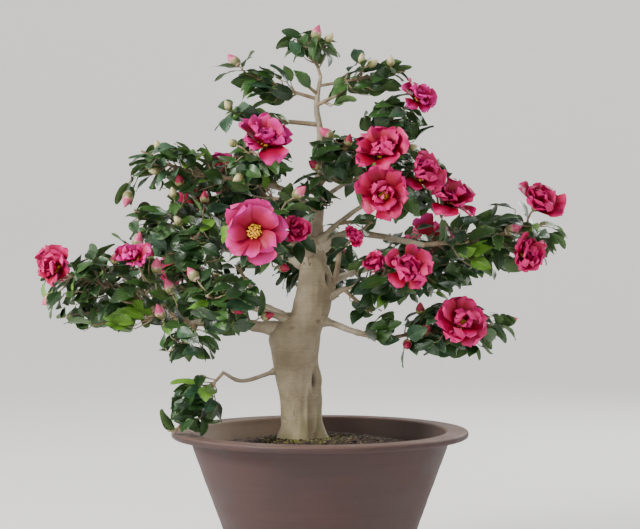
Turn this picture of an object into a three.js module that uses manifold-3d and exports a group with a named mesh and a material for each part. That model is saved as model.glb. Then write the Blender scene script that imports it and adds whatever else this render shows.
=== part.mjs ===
/*
 * A camellia bonsai in a round, wide-rimmed clay pot.
 *
 * The plant stands in its pot as one rigid piece. A short, thick trunk carries a thin leader and a
 * ring of boughs, and each bough ends in one mass of twigs, leaves and blossom.
 *
 * Millimetres, +Z up. The origin is the centre of the pot's flat underside, and the plant's front,
 * where its trunk shows bare, faces -Y.
 */
import * as THREE from 'three';
import { mergeVertices } from 'three/addons/utils/BufferGeometryUtils.js';
import Module from 'manifold-3d';

const wasm = await Module();
wasm.setup();

// ---------------------------------------------------------------- driving dimensions

const CLEAR = 0.3; // gap between two pieces that meet

const POT = {
  height: 200,
  footRadius: 94,
  neckRadius: 163, // outside the wall, just under the rim
  rimRadius: 185,
  rimInner: 158,
  rimThick: 8,
  wall: 9,
  floor: 14,
  edge: 2, // rounding of the rim's edges
  sides: 40,
};

const SOIL = { edgeZ: 176, crownZ: 190, crownRadius: 62, bulge: 2 };

const TRUNK = {
  sides: 18,
  flutes: { count: 3, depth: 0.05, turn: 0.6 }, // the depth is a share of the radius
  roots: { count: 5, depth: 0.1, turn: 1.2, height: 26 }, // lobes at the foot, where it flares
  // x, z and radius of the trunk, from its flat foot to its pruned top
  stations: [
    [-23, SOIL.crownZ + CLEAR, 30],
    [-23, 205, 26.5],
    [-25, 237, 26],
    [-28, 262, 28],
    [-32, 293, 29],
    [-32, 318, 32],
    [-26, 331, 29],
    [-15, 343, 24.5],
    [-10, 362, 24],
    [-5, 380, 24],
    [-7, 398, 19.5],
    [-9, 416, 16],
    [-8, 430, 12],
    [-7, 440, 9.5],
  ],
};

// Each limb tapers from its first radius to its last along a smooth path, and leaves `parent`.
const LIMBS = [
  {
    name: 'leader',
    parent: 'trunk',
    radii: [8, 2.2],
    path: [[-7, 3, 428], [-2, 6, 468], [-2, 8, 500], [1, 4, 562], [-4, 0, 605], [1, 0, 642]],
  },
  {
    name: 'bough_left_high',
    parent: 'leader',
    radii: [4.6, 3],
    path: [[-2, 6, 470], [-20, 0, 484], [-44, -8, 499], [-73, -10, 506]],
  },
  {
    name: 'bough_left_mid',
    parent: 'trunk',
    radii: [5, 3],
    path: [[-14, 0, 405], [-50, -8, 417], [-87, -20, 421], [-114, -28, 424]],
  },
  {
    name: 'bough_left_low',
    parent: 'trunk',
    radii: [8, 4.2],
    path: [[-32, 0, 322], [-73, -10, 328], [-118, -20, 335], [-161, -28, 333]],
  },
  {
    name: 'bough_left_inner',
    parent: 'trunk',
    radii: [4.6, 3],
    path: [[-32, -2, 332], [-65, -25, 347], [-86, -50, 354]],
  },
  {
    name: 'bough_left_droop',
    parent: 'trunk',
    radii: [3, 2],
    path: [[-34, 0, 284], [-68, -8, 268], [-97, -24, 262], [-119, -40, 274]],
  },
  {
    name: 'bough_front',
    parent: 'trunk',
    radii: [4.4, 2.8],
    path: [[-11, -4, 418], [-25, -35, 429], [-43, -60, 433]],
  },
  {
    name: 'bough_right_up',
    parent: 'trunk',
    radii: [4, 2.6],
    path: [[-7, 0, 430], [12, -8, 448], [32, -18, 465], [53, -35, 478]],
  },
  {
    name: 'bough_right_high',
    parent: 'trunk',
    radii: [5.4, 3.2],
    path: [[-8, 0, 422], [31, -4, 444], [74, -12, 441], [129, -20, 430]],
  },
  {
    name: 'bough_right_mid',
    parent: 'trunk',
    radii: [4.2, 2.6],
    path: [[-8, 0, 356], [27, -12, 374], [49, -30, 382]],
  },
  {
    name: 'bough_right_low',
    parent: 'trunk',
    radii: [4.8, 2.6],
    path: [[-18, 0, 338], [18, -4, 332], [56, -14, 318], [88, -22, 315]],
  },
  {
    name: 'bough_right_top',
    parent: 'leader',
    radii: [2.6, 2],
    path: [[-1, 7, 524], [27, 0, 537], [57, -6, 551]],
  },
  {
    name: 'bough_back_left',
    parent: 'trunk',
    radii: [5, 3],
    path: [[-30, 4, 334], [-62, 48, 349], [-98, 80, 360]],
  },
  {
    name: 'bough_back_right',
    parent: 'trunk',
    radii: [5, 3],
    path: [[-6, 4, 374], [32, 52, 391], [65, 82, 401]],
  },
  {
    name: 'bough_back',
    parent: 'trunk',
    radii: [4.4, 2.8],
    path: [[-11, 4, 354], [-7, 56, 378], [-4, 88, 391]],
  },
  {
    name: 'bough_back_left_high',
    parent: 'leader',
    radii: [3.8, 2.6],
    path: [[-4, 5, 456], [-26, 40, 473], [-46, 65, 489]],
  },
  {
    name: 'bough_back_right_high',
    parent: 'leader',
    radii: [3.4, 2.4],
    path: [[-2, 8, 484], [19, 40, 501], [38, 65, 513]],
  },
];

// Each mass fills its own share of an ellipsoid at `centre`. Its stem runs from the tip of `limb`, or
// from the point `at` along it, through the centre to `end`, its furthest tip.
const MASSES = [
  {
    name: 'apex', limb: 'leader',
    centre: [-12, 0, 679], radii: [50, 38, 30], end: [-31, -5, 696],
  },
  {
    name: 'top_right', limb: 'leader', at: 0.93,
    centre: [67, 5, 642], radii: [60, 42, 30], end: [119, 5, 650],
  },
  {
    name: 'top_left', limb: 'leader', at: 0.84,
    centre: [-63, -5, 631], radii: [52, 42, 34], end: [-105, -8, 651],
  },
  {
    name: 'left_wisp', limb: 'leader', at: 0.68,
    centre: [-78, -5, 589], radii: [52, 38, 22], end: [-123, -8, 603],
  },
  {
    name: 'right_top', limb: 'bough_right_top',
    centre: [91, -8, 591], radii: [52, 48, 40], end: [118, -12, 608],
  },
  {
    name: 'upper_centre', limb: 'leader', at: 0.42,
    centre: [22, -20, 535], radii: [47, 52, 42], end: [36, -34, 566],
  },
  {
    name: 'left_high_inner', limb: 'bough_left_high', at: 0.75,
    centre: [-76, -40, 527], radii: [49, 55, 39], end: [-87, -70, 551],
  },
  {
    name: 'left_high_outer', limb: 'bough_left_high',
    centre: [-175, -5, 526], radii: [72, 60, 42], end: [-237, -5, 555],
  },
  {
    name: 'left_mid', limb: 'bough_left_mid',
    centre: [-179, 10, 447], radii: [83, 70, 53], end: [-250, 0, 484],
  },
  {
    name: 'left_inner', limb: 'bough_left_inner',
    centre: [-107, -70, 358], radii: [63, 60, 48], end: [-141, -120, 372],
  },
  {
    name: 'left_low', limb: 'bough_left_low',
    centre: [-258, -20, 377], radii: [94, 78, 62], end: [-337, -20, 397],
  },
  {
    name: 'left_droop', limb: 'bough_left_droop',
    centre: [-151, -60, 237], radii: [41, 40, 56], end: [-186, -72, 188],
  },
  {
    name: 'front', limb: 'bough_front',
    centre: [-69, -95, 437], radii: [57, 55, 52], end: [-98, -135, 440],
  },
  {
    name: 'right_blossom', limb: 'bough_right_up',
    centre: [101, -55, 504], radii: [73, 62, 53], end: [160, -60, 486],
  },
  {
    name: 'right_far', limb: 'bough_right_high',
    centre: [222, -20, 441], radii: [89, 60, 52], end: [296, -20, 462],
  },
  {
    name: 'right_mid', limb: 'bough_right_mid',
    centre: [74, -60, 390], radii: [58, 55, 41], end: [112, -90, 402],
  },
  {
    name: 'right_low', limb: 'bough_right_low',
    centre: [154, -30, 328], radii: [96, 62, 42], end: [240, -30, 330],
  },
  {
    name: 'back_left', limb: 'bough_back_left',
    centre: [-159, 110, 370], radii: [95, 70, 61], end: [-241, 130, 392],
  },
  {
    name: 'back_right', limb: 'bough_back_right',
    centre: [132, 115, 409], radii: [106, 72, 58], end: [227, 130, 430],
  },
  {
    name: 'back', limb: 'bough_back',
    centre: [-7, 140, 409], radii: [70, 62, 64], end: [-8, 192, 436],
  },
  {
    name: 'back_left_high', limb: 'bough_back_left_high',
    centre: [-111, 90, 504], radii: [81, 66, 55], end: [-173, 110, 529],
  },
  {
    name: 'back_right_high', limb: 'bough_back_right_high',
    centre: [72, 80, 532], radii: [73, 66, 60], end: [122, 100, 568],
  },
];

// The open blossoms: where each one's heart is, which way it looks, its radius and how far its petals
// have opened (0 is shut, 1 is flat).
const BLOOMS = [
  { mass: 'front', at: [-74, -138, 444], faces: [-0.1, -1, 0.05], radius: 36, open: 0.9 },
  { mass: 'front', at: [-26, -88, 444], faces: [0.1, -0.9, 0.3], radius: 18, open: 0.35 },
  { mass: 'left_high_inner', at: [-66, -84, 545], faces: [0.1, -0.7, 0.7], radius: 32, open: 0.7 },
  { mass: 'right_top', at: [118, -14, 608], faces: [0.8, 0.35, 0.35], radius: 22, open: 0.6 },
  { mass: 'right_blossom', at: [76, -88, 533], faces: [-0.2, -0.8, 0.6], radius: 31, open: 0.7 },
  { mass: 'right_blossom', at: [76, -100, 487], faces: [-0.1, -1, 0.1], radius: 31, open: 0.8 },
  { mass: 'right_blossom', at: [116, -88, 508], faces: [0.4, -0.8, 0.4], radius: 27, open: 0.6 },
  { mass: 'right_blossom', at: [151, -72, 474], faces: [0.4, -0.4, 0.8], radius: 31, open: 0.8 },
  { mass: 'right_far', at: [269, -26, 474], faces: [0.5, -0.3, 0.8], radius: 32, open: 0.8 },
  { mass: 'right_far', at: [254, -34, 424], faces: [0.6, -0.7, -0.2], radius: 24, open: 0.5 },
  { mass: 'right_mid', at: [101, -88, 398], faces: [0.2, -0.9, 0.3], radius: 28, open: 0.7 },
  { mass: 'right_low', at: [168, -68, 333], faces: [0.2, -0.9, 0.4], radius: 31, open: 0.8 },
  { mass: 'left_low', at: [-331, -22, 400], faces: [-0.9, -0.4, 0.2], radius: 21, open: 0.6 },
  { mass: 'left_low', at: [-220, -72, 408], faces: [-0.2, -0.7, 0.7], radius: 23, open: 0.5 },
  { mass: 'left_mid', at: [-160, 62, 480], faces: [-0.3, 0.6, 0.7], radius: 27, open: 0.7 },
  { mass: 'back_left', at: [-190, 158, 398], faces: [-0.3, 0.9, 0.3], radius: 31, open: 0.8 },
  { mass: 'back_right', at: [150, 168, 434], faces: [0.2, 0.9, 0.4], radius: 32, open: 0.8 },
  { mass: 'back_right', at: [212, 118, 440], faces: [0.8, 0.4, 0.4], radius: 27, open: 0.6 },
  { mass: 'back', at: [-20, 190, 430], faces: [-0.1, 1, 0.2], radius: 33, open: 0.85 },
  { mass: 'back_left_high', at: [-128, 142, 522], faces: [-0.2, 0.8, 0.5], radius: 30, open: 0.7 },
  { mass: 'back_right_high', at: [92, 126, 556], faces: [0.3, 0.8, 0.5], radius: 29, open: 0.7 },
];

const STEM = {
  sides: 4,
  steps: 4,
  tipRadius: 1.7,
  sunk: 1, // how far a stem that carries on from its limb's tip starts back within it
  sideShare: 0.8, // radius of a stem that leaves its limb's side, as a share of the limb's
};

const TWIG = {
  radius: 0.62, // radius of a twig's foot, as a share of its stem's
  along: [0.15, 0.97], // the stretch of the stem that bears twigs
  step: 0.7549, // from one twig to the next along that stretch, wrapped round
  turn: Math.PI * (3 - Math.sqrt(5)), // and round the stem: the golden angle
  spread: [0.6, 1.2], // radians from the stem
  reach: [0.55, 0.9], // a twig's length, as a share of the room ahead of it
  least: 12,
  long: 30, // a longer twig bears five leaves, a shorter one three
  body: [0.4, 0.6, 0.8, 1], // where on a twig its room is tested
  tries: 500,
};

const LEAF = {
  length: 44,
  width: 27,
  thick: 2.6,
  sunk: 0.4, // how deep its foot lies in the twig's axis
  apart: 6,
  perMass: [3, 16.4], // leaves on a mass: these, and one more for so many mm of its three radii
  sizeFor: [52, 0.72, 1.05], // a mean radius at which leaves are full size, and the size's limits
  sizes: [0.8, 1.1],
  along: [0.22, 0.5], // the first leaf's place on the twig, and the stretch that they share
  spread: [0.7, 1.1], // radians from the twig
  tipSpread: 0.35,
  lift: 0.3,
  sky: 0.8, // how far up leaves look, where 1 is as much as they look outward
  tilt: 1.6,
};

const BUD = { length: 15, width: 9, share: 0.15 };

const BLOOM = {
  lobes: 5,
  sides: 10,
  rings: 3,
  thick: 0.15,
  notch: 0.25,
  spread: [0.6, 1], // petals' reach when shut and when open, as a share of the radius
  cup: [1.1, 0.4], // and their rise
  middle: 0.4, // where the middle of its room is, before its heart
  room: 0.85,
  heart: 0.1, // where its stalk ends
};

// A blossom's stalk leaves the stem a little back from the nearest of these places.
const FORK = { along: [0.2, 0.97], step: 0.04, back: 0.12 };

// Room kept free: between the cells of two masses, round limbs, over the pot and before the trunk.
const ROOM = { cell: 0.7, limb: 5, potTop: POT.height + 3, potSide: POT.rimRadius + 5, step: 4 };
const TRUNK_VIEW = { left: -62, right: 30, top: 404, back: 10 };

const COLOURS = { pot: 0x6b544f, soil: 0x33261d, bark: 0xb9a98c, leaves: 0x2f5a34 };
const ROUGHNESS = { pot: 0.75, soil: 0.95, bark: 0.8, leaves: 0.45 };

// ---------------------------------------------------------------- solids

/** A closed geometry as a solid: its vertices merged and its collapsed triangles left out. */
function solidOf(geometry) {
  const bare = geometry.clone();
  bare.deleteAttribute('normal');
  bare.deleteAttribute('uv');
  const merged = mergeVertices(bare, 1e-4);
  const corners = merged.index.array;
  const kept = [];
  for (let i = 0; i < corners.length; i += 3) {
    const [a, b, c] = corners.slice(i, i + 3);
    if (a !== b && b !== c && c !== a) kept.push(a, b, c);
  }
  return new wasm.Manifold(new wasm.Mesh({
    numProp: 3,
    vertProperties: new Float32Array(merged.attributes.position.array),
    triVerts: new Uint32Array(kept),
  }));
}

/** A solid's surface as a geometry. */
function geometryOf(solid) {
  const mesh = solid.getMesh();
  const geometry = new THREE.BufferGeometry();
  geometry.setAttribute('position', new THREE.BufferAttribute(new Float32Array(mesh.vertProperties), 3));
  geometry.setIndex(new THREE.BufferAttribute(new Uint32Array(mesh.triVerts), 1));
  geometry.computeVertexNormals();
  return geometry;
}

/** The largest body of a solid, without loose scraps and with sealed hollows filled. */
function mainBody(solid) {
  return solid.decompose().reduce((best, body) => (body.volume() > best.volume() ? body : best));
}

/** A named piece of the plant, finished as its kind: pot, soil, bark or leaves. */
function piece(name, geometry, kind) {
  const material = new THREE.MeshStandardMaterial({
    color: COLOURS[kind],
    roughness: ROUGHNESS[kind],
    metalness: 0,
    flatShading: true,
  });
  const mesh = new THREE.Mesh(geometry, material);
  mesh.name = name;
  return mesh;
}

const vector = (values) => new THREE.Vector3(...values);
const { lerp } = THREE.MathUtils;

/** A direction to measure turns from about `ahead`: up, or along X where `ahead` is itself upright. */
const levelFor = (ahead) => (Math.abs(ahead.z) > 0.9 ? vector([1, 0, 0]) : vector([0, 0, 1]));

/** Repeatable random numbers from 0 to 1, by a 32-bit congruential rule. */
function seeded(seed) {
  let state = seed;
  return () => {
    state = (state * 1664525 + 1013904223) % 2 ** 32;
    return state / 2 ** 32;
  };
}

// ---------------------------------------------------------------- pot and soil

/** A profile of [radius, z] points turned about the Z axis. */
function turned(profile, sides) {
  const outline = profile.map(([radius, z]) => new THREE.Vector2(radius, z));
  return new THREE.LatheGeometry(outline, sides).rotateX(Math.PI / 2);
}

/** The pot's outside radius at height z, on its straight wall. */
function potRadius(z) {
  return THREE.MathUtils.mapLinear(z, 0, POT.height - POT.rimThick, POT.footRadius, POT.neckRadius);
}

/** The pot: a flat foot, a straight flaring wall and a flat, wide rim. */
function potGeometry() {
  const { height, rimRadius, rimInner, rimThick, wall, floor, edge, sides } = POT;
  const under = height - rimThick;
  return turned([
    [0, 0],
    [potRadius(0) - edge, 0],
    [potRadius(0), edge],
    [potRadius(under), under],
    [rimRadius - edge, under],
    [rimRadius, under + edge],
    [rimRadius, height - edge],
    [rimRadius - edge, height],
    [rimInner, height],
    [potRadius(under) - wall, height - wall],
    [potRadius(floor) - wall, floor],
    [0, floor],
  ], sides);
}

/** The soil: it fills the pot, clear of its wall, and is mounded to a level crown at the trunk. */
function soilGeometry() {
  const { edgeZ, crownZ, crownRadius, bulge } = SOIL;
  const foot = POT.floor + CLEAR;
  const inner = (z) => potRadius(z) - POT.wall - CLEAR;
  const shoulder = [(crownRadius + inner(edgeZ)) / 2, (edgeZ + crownZ) / 2 + bulge];
  return turned([
    [0, foot],
    [inner(foot), foot],
    [inner(edgeZ), edgeZ],
    shoulder,
    [crownRadius, crownZ],
    [0, crownZ],
  ], POT.sides);
}

// ---------------------------------------------------------------- trunk and limbs

/** The trunk as a stack of level, fluted rings, `grown` larger all over. */
function trunkGeometry(grown = 0) {
  const { sides, flutes, roots, stations } = TRUNK;
  const geometry = new THREE.CylinderGeometry(1, 1, 1, sides, stations.length - 1);
  const position = geometry.attributes.position;
  const top = stations.length - 1;
  for (let i = 0; i < position.count; i += 1) {
    const ring = Math.round((position.getY(i) + 0.5) * top);
    const [x, z, radius] = stations[ring];
    const angle = Math.atan2(position.getZ(i), position.getX(i));
    const foot = Math.max(0, 1 - (z - stations[0][1]) / roots.height);
    const flute = flutes.depth * Math.cos(flutes.count * angle + flutes.turn);
    const root = roots.depth * foot * Math.cos(roots.count * angle + roots.turn);
    const out = Math.hypot(position.getX(i), position.getZ(i));
    const reach = (radius * (1 + flute + root) + grown) * out;
    const level = z + (ring === top ? grown : 0) - (ring === 0 ? grown : 0);
    position.setXYZ(i, x + reach * Math.cos(angle), -reach * Math.sin(angle), level);
  }
  return geometry;
}

/** A smooth path with a taper: what a limb or a stem is made from, and keeps its room by. */
function tapered(points, radii) {
  return {
    curve: new THREE.CatmullRomCurve3(points, false, 'catmullrom', 0.5),
    radiusAt: (t) => lerp(...radii, t),
  };
}

/** A tapering tube along a path, its rings kept from twisting, and `grown` larger all over. */
function tubeGeometry({ curve, radiusAt }, sides, steps, grown = 0) {
  const geometry = new THREE.CylinderGeometry(1, 1, 1, sides, steps);
  const position = geometry.attributes.position;
  const tangents = [];
  const normals = [];
  for (let i = 0; i <= steps; i += 1) {
    const tangent = curve.getTangent(i / steps);
    const last = i ? normals[i - 1] : levelFor(tangent).cross(tangent);
    tangents.push(tangent);
    normals.push(last.clone().addScaledVector(tangent, -last.dot(tangent)).normalize());
  }
  for (let i = 0; i < position.count; i += 1) {
    const t = position.getY(i) + 0.5;
    const step = Math.round(t * steps);
    const across = new THREE.Vector3().crossVectors(normals[step], tangents[step]);
    const reach = radiusAt(t) + grown;
    const spot = curve.getPoint(t)
      .addScaledVector(normals[step], position.getX(i) * reach)
      .addScaledVector(across, position.getZ(i) * reach)
      .addScaledVector(tangents[step], grown * Math.sign(Math.round(2 * t - 1)));
    position.setXYZ(i, spot.x, spot.y, spot.z);
  }
  return geometry;
}

const limbs = new Map(LIMBS.map((limb) => [
  limb.name,
  { ...limb, ...tapered(limb.path.map(vector), limb.radii) },
]));

/** A limb's solid, with more sides on the two thickest, `grown` larger all over. */
function limbSolid(limb, grown = 0) {
  const sides = limb.radii[0] > 5 ? 8 : 6;
  return solidOf(tubeGeometry(limb, sides, limb.path.length + 1, grown));
}

// ---------------------------------------------------------------- the room that each mass grows in

/** The mass with its stem laid out, its cell's weight and the place of each of its blossoms. */
function layOut(mass, index) {
  const limb = limbs.get(mass.limb);
  const at = mass.at ?? 1;
  const back = mass.at ? 0 : STEM.sunk;
  const root = limb.curve.getPoint(at).addScaledVector(limb.curve.getTangent(at), -back);
  const rootRadius = (mass.at ? STEM.sideShare : 1) * limb.radiusAt(at);
  const centre = vector(mass.centre);
  const stem = tapered([root, centre, vector(mass.end)], [rootRadius, STEM.tipRadius]);
  const weight = Math.cbrt(mass.radii[0] * mass.radii[1] * mass.radii[2]);
  const [fullSize, ...sizeLimits] = LEAF.sizeFor;
  const leafSize = THREE.MathUtils.clamp(weight / fullSize, ...sizeLimits);
  const blooms = BLOOMS.filter((bloom) => bloom.mass === mass.name).map((bloom) => {
    const heart = vector(bloom.at);
    const faces = vector(bloom.faces).normalize();
    const middle = heart.clone().addScaledVector(faces, BLOOM.middle * bloom.radius);
    return { ...bloom, at: heart, faces, middle };
  });
  return { ...mass, centre, stem, weight, leafSize, blooms, seed: 7919 * (index + 1) };
}

const masses = MASSES.map(layOut);

/** Spheres along a path, close enough together to stand for it. */
function beads({ curve, radiusAt }, owner) {
  const count = Math.ceil(curve.getLength() / ROOM.step);
  return Array.from({ length: count + 1 }, (_, i) => (
    { at: curve.getPoint(i / count), radius: radiusAt(i / count), owner }
  ));
}

const trunkPath = {
  curve: new THREE.CatmullRomCurve3(TRUNK.stations.map(([x, z]) => vector([x, 0, z]))),
  radiusAt: (t) => {
    const place = t * (TRUNK.stations.length - 1);
    const low = Math.min(Math.floor(place), TRUNK.stations.length - 2);
    return lerp(TRUNK.stations[low][2], TRUNK.stations[low + 1][2], place - low);
  },
};

const obstacles = [
  ...beads(trunkPath, 'trunk'),
  ...[...limbs.values()].flatMap((limb) => beads(limb, limb.name)),
  ...masses.flatMap((mass) => beads(mass.stem, mass.name)),
  ...masses.flatMap((mass) => mass.blooms.map((bloom) => (
    { at: bloom.middle, radius: bloom.radius, owner: mass.name }
  ))),
];

/** How deep a point lies in a mass's own cell, from the nearest wall that it shares with another. */
function depthInCell(mass, point) {
  let depth = Infinity;
  const own = point.distanceToSquared(mass.centre) - mass.weight ** 2;
  for (const other of masses) {
    if (other === mass) continue;
    const theirs = point.distanceToSquared(other.centre) - other.weight ** 2;
    depth = Math.min(depth, (theirs - own) / (2 * mass.centre.distanceTo(other.centre)));
  }
  return depth;
}

/** Whether a point is inside a mass's ellipsoid and cell, off the pot and out of the trunk's view. */
function isInside(mass, point) {
  const { x, y, z } = point;
  const from = point.clone().sub(mass.centre).divide(vector(mass.radii));
  if (from.length() > 1) return false;
  if (z < ROOM.potTop && Math.hypot(x, y) < ROOM.potSide) return false;
  const beforeTrunk = x > TRUNK_VIEW.left && x < TRUNK_VIEW.right && y < TRUNK_VIEW.back;
  if (beforeTrunk && z < TRUNK_VIEW.top) return false;
  return depthInCell(mass, point) > ROOM.cell;
}

/** Whether points keep clear of all that isn't their own mass's, and out of its own blossoms. */
function isFree(mass, points) {
  return points.every((point) => isInside(mass, point)
    && mass.blooms.every((bloom) => point.distanceTo(bloom.middle) > BLOOM.room * bloom.radius)
    && obstacles.every((bead) => (
      bead.owner === mass.name || point.distanceTo(bead.at) > bead.radius + ROOM.limb
    )));
}

/** How far a ray from inside a mass runs before it would leave its room. */
function reachOf(mass, from, ahead) {
  let reach = 0;
  while (isFree(mass, [from.clone().addScaledVector(ahead, reach + ROOM.step)])) reach += ROOM.step;
  return reach;
}

/** Whether any of these points comes too near to what has grown already. */
function isTaken(taken, points) {
  return points.some((point) => taken.some((spot) => spot.distanceTo(point) < LEAF.apart));
}

// ---------------------------------------------------------------- twigs, leaves, buds and blossom

/** Turns a geometry that lies along +X, with its face up +Z, to a place in the crown. */
function placed(geometry, at, ahead, face) {
  const side = new THREE.Vector3().crossVectors(face, ahead).normalize();
  const up = new THREE.Vector3().crossVectors(ahead, side);
  const turn = new THREE.Matrix4().makeBasis(ahead, side, up).setPosition(at);
  return geometry.applyMatrix4(turn);
}

/** An eight-faced blade from just behind the origin to x = length. */
function bladeGeometry(length, width, thick) {
  const half = (length + LEAF.sunk) / 2;
  const geometry = new THREE.OctahedronGeometry(1);
  geometry.scale(half, width / 2, thick / 2);
  return geometry.translate(half - LEAF.sunk, 0, 0);
}

/** Points spread over a blade, which stand for it when its room is tested. */
function bladePoints(at, ahead, face, length, width) {
  const side = new THREE.Vector3().crossVectors(face, ahead).normalize();
  const points = [];
  for (const along of [0.25, 0.5, 0.75, 1]) {
    const half = (width / 2) * (1 - Math.abs(2 * along - 1));
    for (const across of [-1, 0, 1]) {
      points.push(at.clone().addScaledVector(ahead, along * length).addScaledVector(side, across * half));
    }
  }
  return points;
}

/** A three-sided twig that tapers from its foot to its tip. */
function twigGeometry(from, to, radius) {
  const length = from.distanceTo(to);
  const geometry = new THREE.ConeGeometry(radius, length, 3).rotateZ(-Math.PI / 2);
  const ahead = to.clone().sub(from).normalize();
  return placed(geometry.translate(length / 2, 0, 0), from, ahead, levelFor(ahead));
}

/** An open blossom: a thin cup with a lobed edge, deeper the less it has opened. */
function bloomGeometry({ at, faces, radius, open }) {
  const { lobes, sides, rings, thick, notch } = BLOOM;
  const geometry = new THREE.SphereGeometry(1, sides, rings);
  const position = geometry.attributes.position;
  const spread = lerp(...BLOOM.spread, open);
  const cup = lerp(...BLOOM.cup, open);
  for (let i = 0; i < position.count; i += 1) {
    const turn = Math.atan2(position.getZ(i), position.getX(i));
    const out = Math.hypot(position.getX(i), position.getZ(i));
    const lobed = radius * out * spread * (1 - notch * (0.5 - 0.5 * Math.cos(lobes * turn)));
    const rise = radius * (cup * out * out + thick * position.getY(i));
    position.setXYZ(i, rise, lobed * Math.sin(turn), lobed * Math.cos(turn));
  }
  return placed(geometry, at, faces.clone(), levelFor(faces));
}

/** How far along a stem to leave it for `place`. */
function forkFor(stem, place) {
  const [first, last] = FORK.along;
  const awayAt = (t) => stem.curve.getPoint(t).distanceTo(place);
  let best = first;
  for (let t = first; t < last; t += FORK.step) {
    if (awayAt(t) < awayAt(best)) best = t;
  }
  return Math.max(first / 2, best - FORK.back);
}

/** Leaves that stand to either side of a shoot in turn, from near its foot to near its tip. */
function leavesAlong(mass, from, to, count, random, taken) {
  const pieces = [];
  const grown = [];
  const ahead = to.clone().sub(from).normalize();
  const sky = to.clone().sub(mass.centre).normalize().add(vector([0, 0, LEAF.sky]));
  const side = new THREE.Vector3().crossVectors(sky, ahead).normalize();
  for (let i = 0; i < count; i += 1) {
    const isLast = i === count - 1;
    const spread = isLast ? LEAF.tipSpread : lerp(...LEAF.spread, random());
    const hand = i % 2 ? 1 : -1;
    const base = from.clone().lerp(to, LEAF.along[0] + (LEAF.along[1] * (i + 1)) / count);
    const leafAhead = ahead.clone().multiplyScalar(Math.cos(spread))
      .addScaledVector(side, hand * Math.sin(spread))
      .addScaledVector(sky, LEAF.lift * (random() - 0.5))
      .normalize();
    const tilt = vector([random() - 0.5, random() - 0.5, random() - 0.5]);
    const face = sky.clone().addScaledVector(tilt, LEAF.tilt).normalize();
    const isBud = isLast && random() < BUD.share;
    const size = mass.leafSize * lerp(...LEAF.sizes, random());
    const length = isBud ? BUD.length : LEAF.length * size;
    const width = isBud ? BUD.width : LEAF.width * size;
    const thick = isBud ? width : LEAF.thick;
    const points = bladePoints(base, leafAhead, face, length, width);
    if (isTaken(taken, points) || !isFree(mass, points)) continue;
    grown.push(...points);
    pieces.push(placed(bladeGeometry(length, width, thick), base, leafAhead, face));
  }
  taken.push(...grown);
  return pieces;
}

/** The direction of a twig that leaves a stem by `spread`, turned about it by `turn`. */
function twigDirection(ahead, turn, spread) {
  const side = new THREE.Vector3().crossVectors(ahead, levelFor(ahead)).normalize();
  const up = new THREE.Vector3().crossVectors(side, ahead);
  return ahead.clone().multiplyScalar(Math.cos(spread))
    .addScaledVector(side, Math.sin(spread) * Math.cos(turn))
    .addScaledVector(up, Math.sin(spread) * Math.sin(turn));
}

/** One mass: a stem, twigs by the golden angle along it, and the leaves and blossom that they carry. */
function growMass(mass) {
  const random = seeded(mass.seed);
  const { stem } = mass;
  const pieces = [tubeGeometry(stem, STEM.sides, STEM.steps)];
  const taken = [];
  for (const bloom of mass.blooms) {
    const fork = forkFor(stem, bloom.at);
    const heart = bloom.at.clone().addScaledVector(bloom.faces, BLOOM.heart * bloom.radius);
    pieces.push(twigGeometry(stem.curve.getPoint(fork), heart, TWIG.radius * stem.radiusAt(fork)));
    pieces.push(bloomGeometry(bloom));
  }
  // The outer half of the stem bears leaves of its own.
  const tipLeaves = leavesAlong(mass, stem.curve.getPoint(0.4), stem.curve.getPoint(1), 4, random, taken);
  pieces.push(...tipLeaves);
  const [fewest, radiiEach] = LEAF.perMass;
  const wanted = fewest + mass.radii.reduce((sum, radius) => sum + radius) / radiiEach;
  let count = tipLeaves.length;
  for (let i = 0; i < TWIG.tries && count < wanted; i += 1) {
    const t = lerp(...TWIG.along, (i * TWIG.step) % 1);
    const from = stem.curve.getPoint(t);
    const spread = lerp(...TWIG.spread, random());
    const outward = twigDirection(stem.curve.getTangent(t), i * TWIG.turn, spread);
    const length = reachOf(mass, from, outward) * lerp(...TWIG.reach, random());
    if (length < TWIG.least) continue;
    const to = from.clone().addScaledVector(outward, length);
    const twigPoints = TWIG.body.map((along) => from.clone().lerp(to, along));
    if (isTaken(taken, twigPoints)) continue;
    const before = taken.length;
    const leaves = leavesAlong(mass, from, to, length > TWIG.long ? 5 : 3, random, taken);
    if (leaves.length < 2) {
      taken.length = before;
      continue;
    }
    taken.push(...twigPoints);
    pieces.push(twigGeometry(from, to, TWIG.radius * stem.radiusAt(t)), ...leaves);
    count += leaves.length;
  }
  const limbRoom = limbSolid(limbs.get(mass.limb), CLEAR);
  return mainBody(wasm.Manifold.union(pieces.map(solidOf)).subtract(limbRoom));
}

// ---------------------------------------------------------------- the whole plant

const plant = new THREE.Group();
plant.add(piece('pot', potGeometry(), 'pot'));
plant.add(piece('soil', soilGeometry(), 'soil'));
plant.add(piece('trunk', trunkGeometry(), 'bark'));

// Each limb is cut clear of the trunk and of the limbs before it.
let room = solidOf(trunkGeometry(CLEAR));
for (const limb of limbs.values()) {
  plant.add(piece(limb.name, geometryOf(mainBody(limbSolid(limb).subtract(room))), 'bark'));
  room = room.add(limbSolid(limb, CLEAR));
}

for (const mass of masses) {
  plant.add(piece(`foliage_${mass.name}`, geometryOf(growMass(mass)), 'leaves'));
}

export default plant;
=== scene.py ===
# %% [markdown]
# # A camellia bonsai in a clay pot
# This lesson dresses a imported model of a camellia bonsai: a thick, pale trunk, a thin leader, tiers of
# leafy boughs and hot pink blossom, in a round pot of unglazed clay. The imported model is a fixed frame.
# It says where every piece is, and each piece made here either keeps a place in it or stands for a part
# of it. All lengths are metres, with +Z up and the front of the plant facing -Y.

# %% Load the frame
import math

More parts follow.
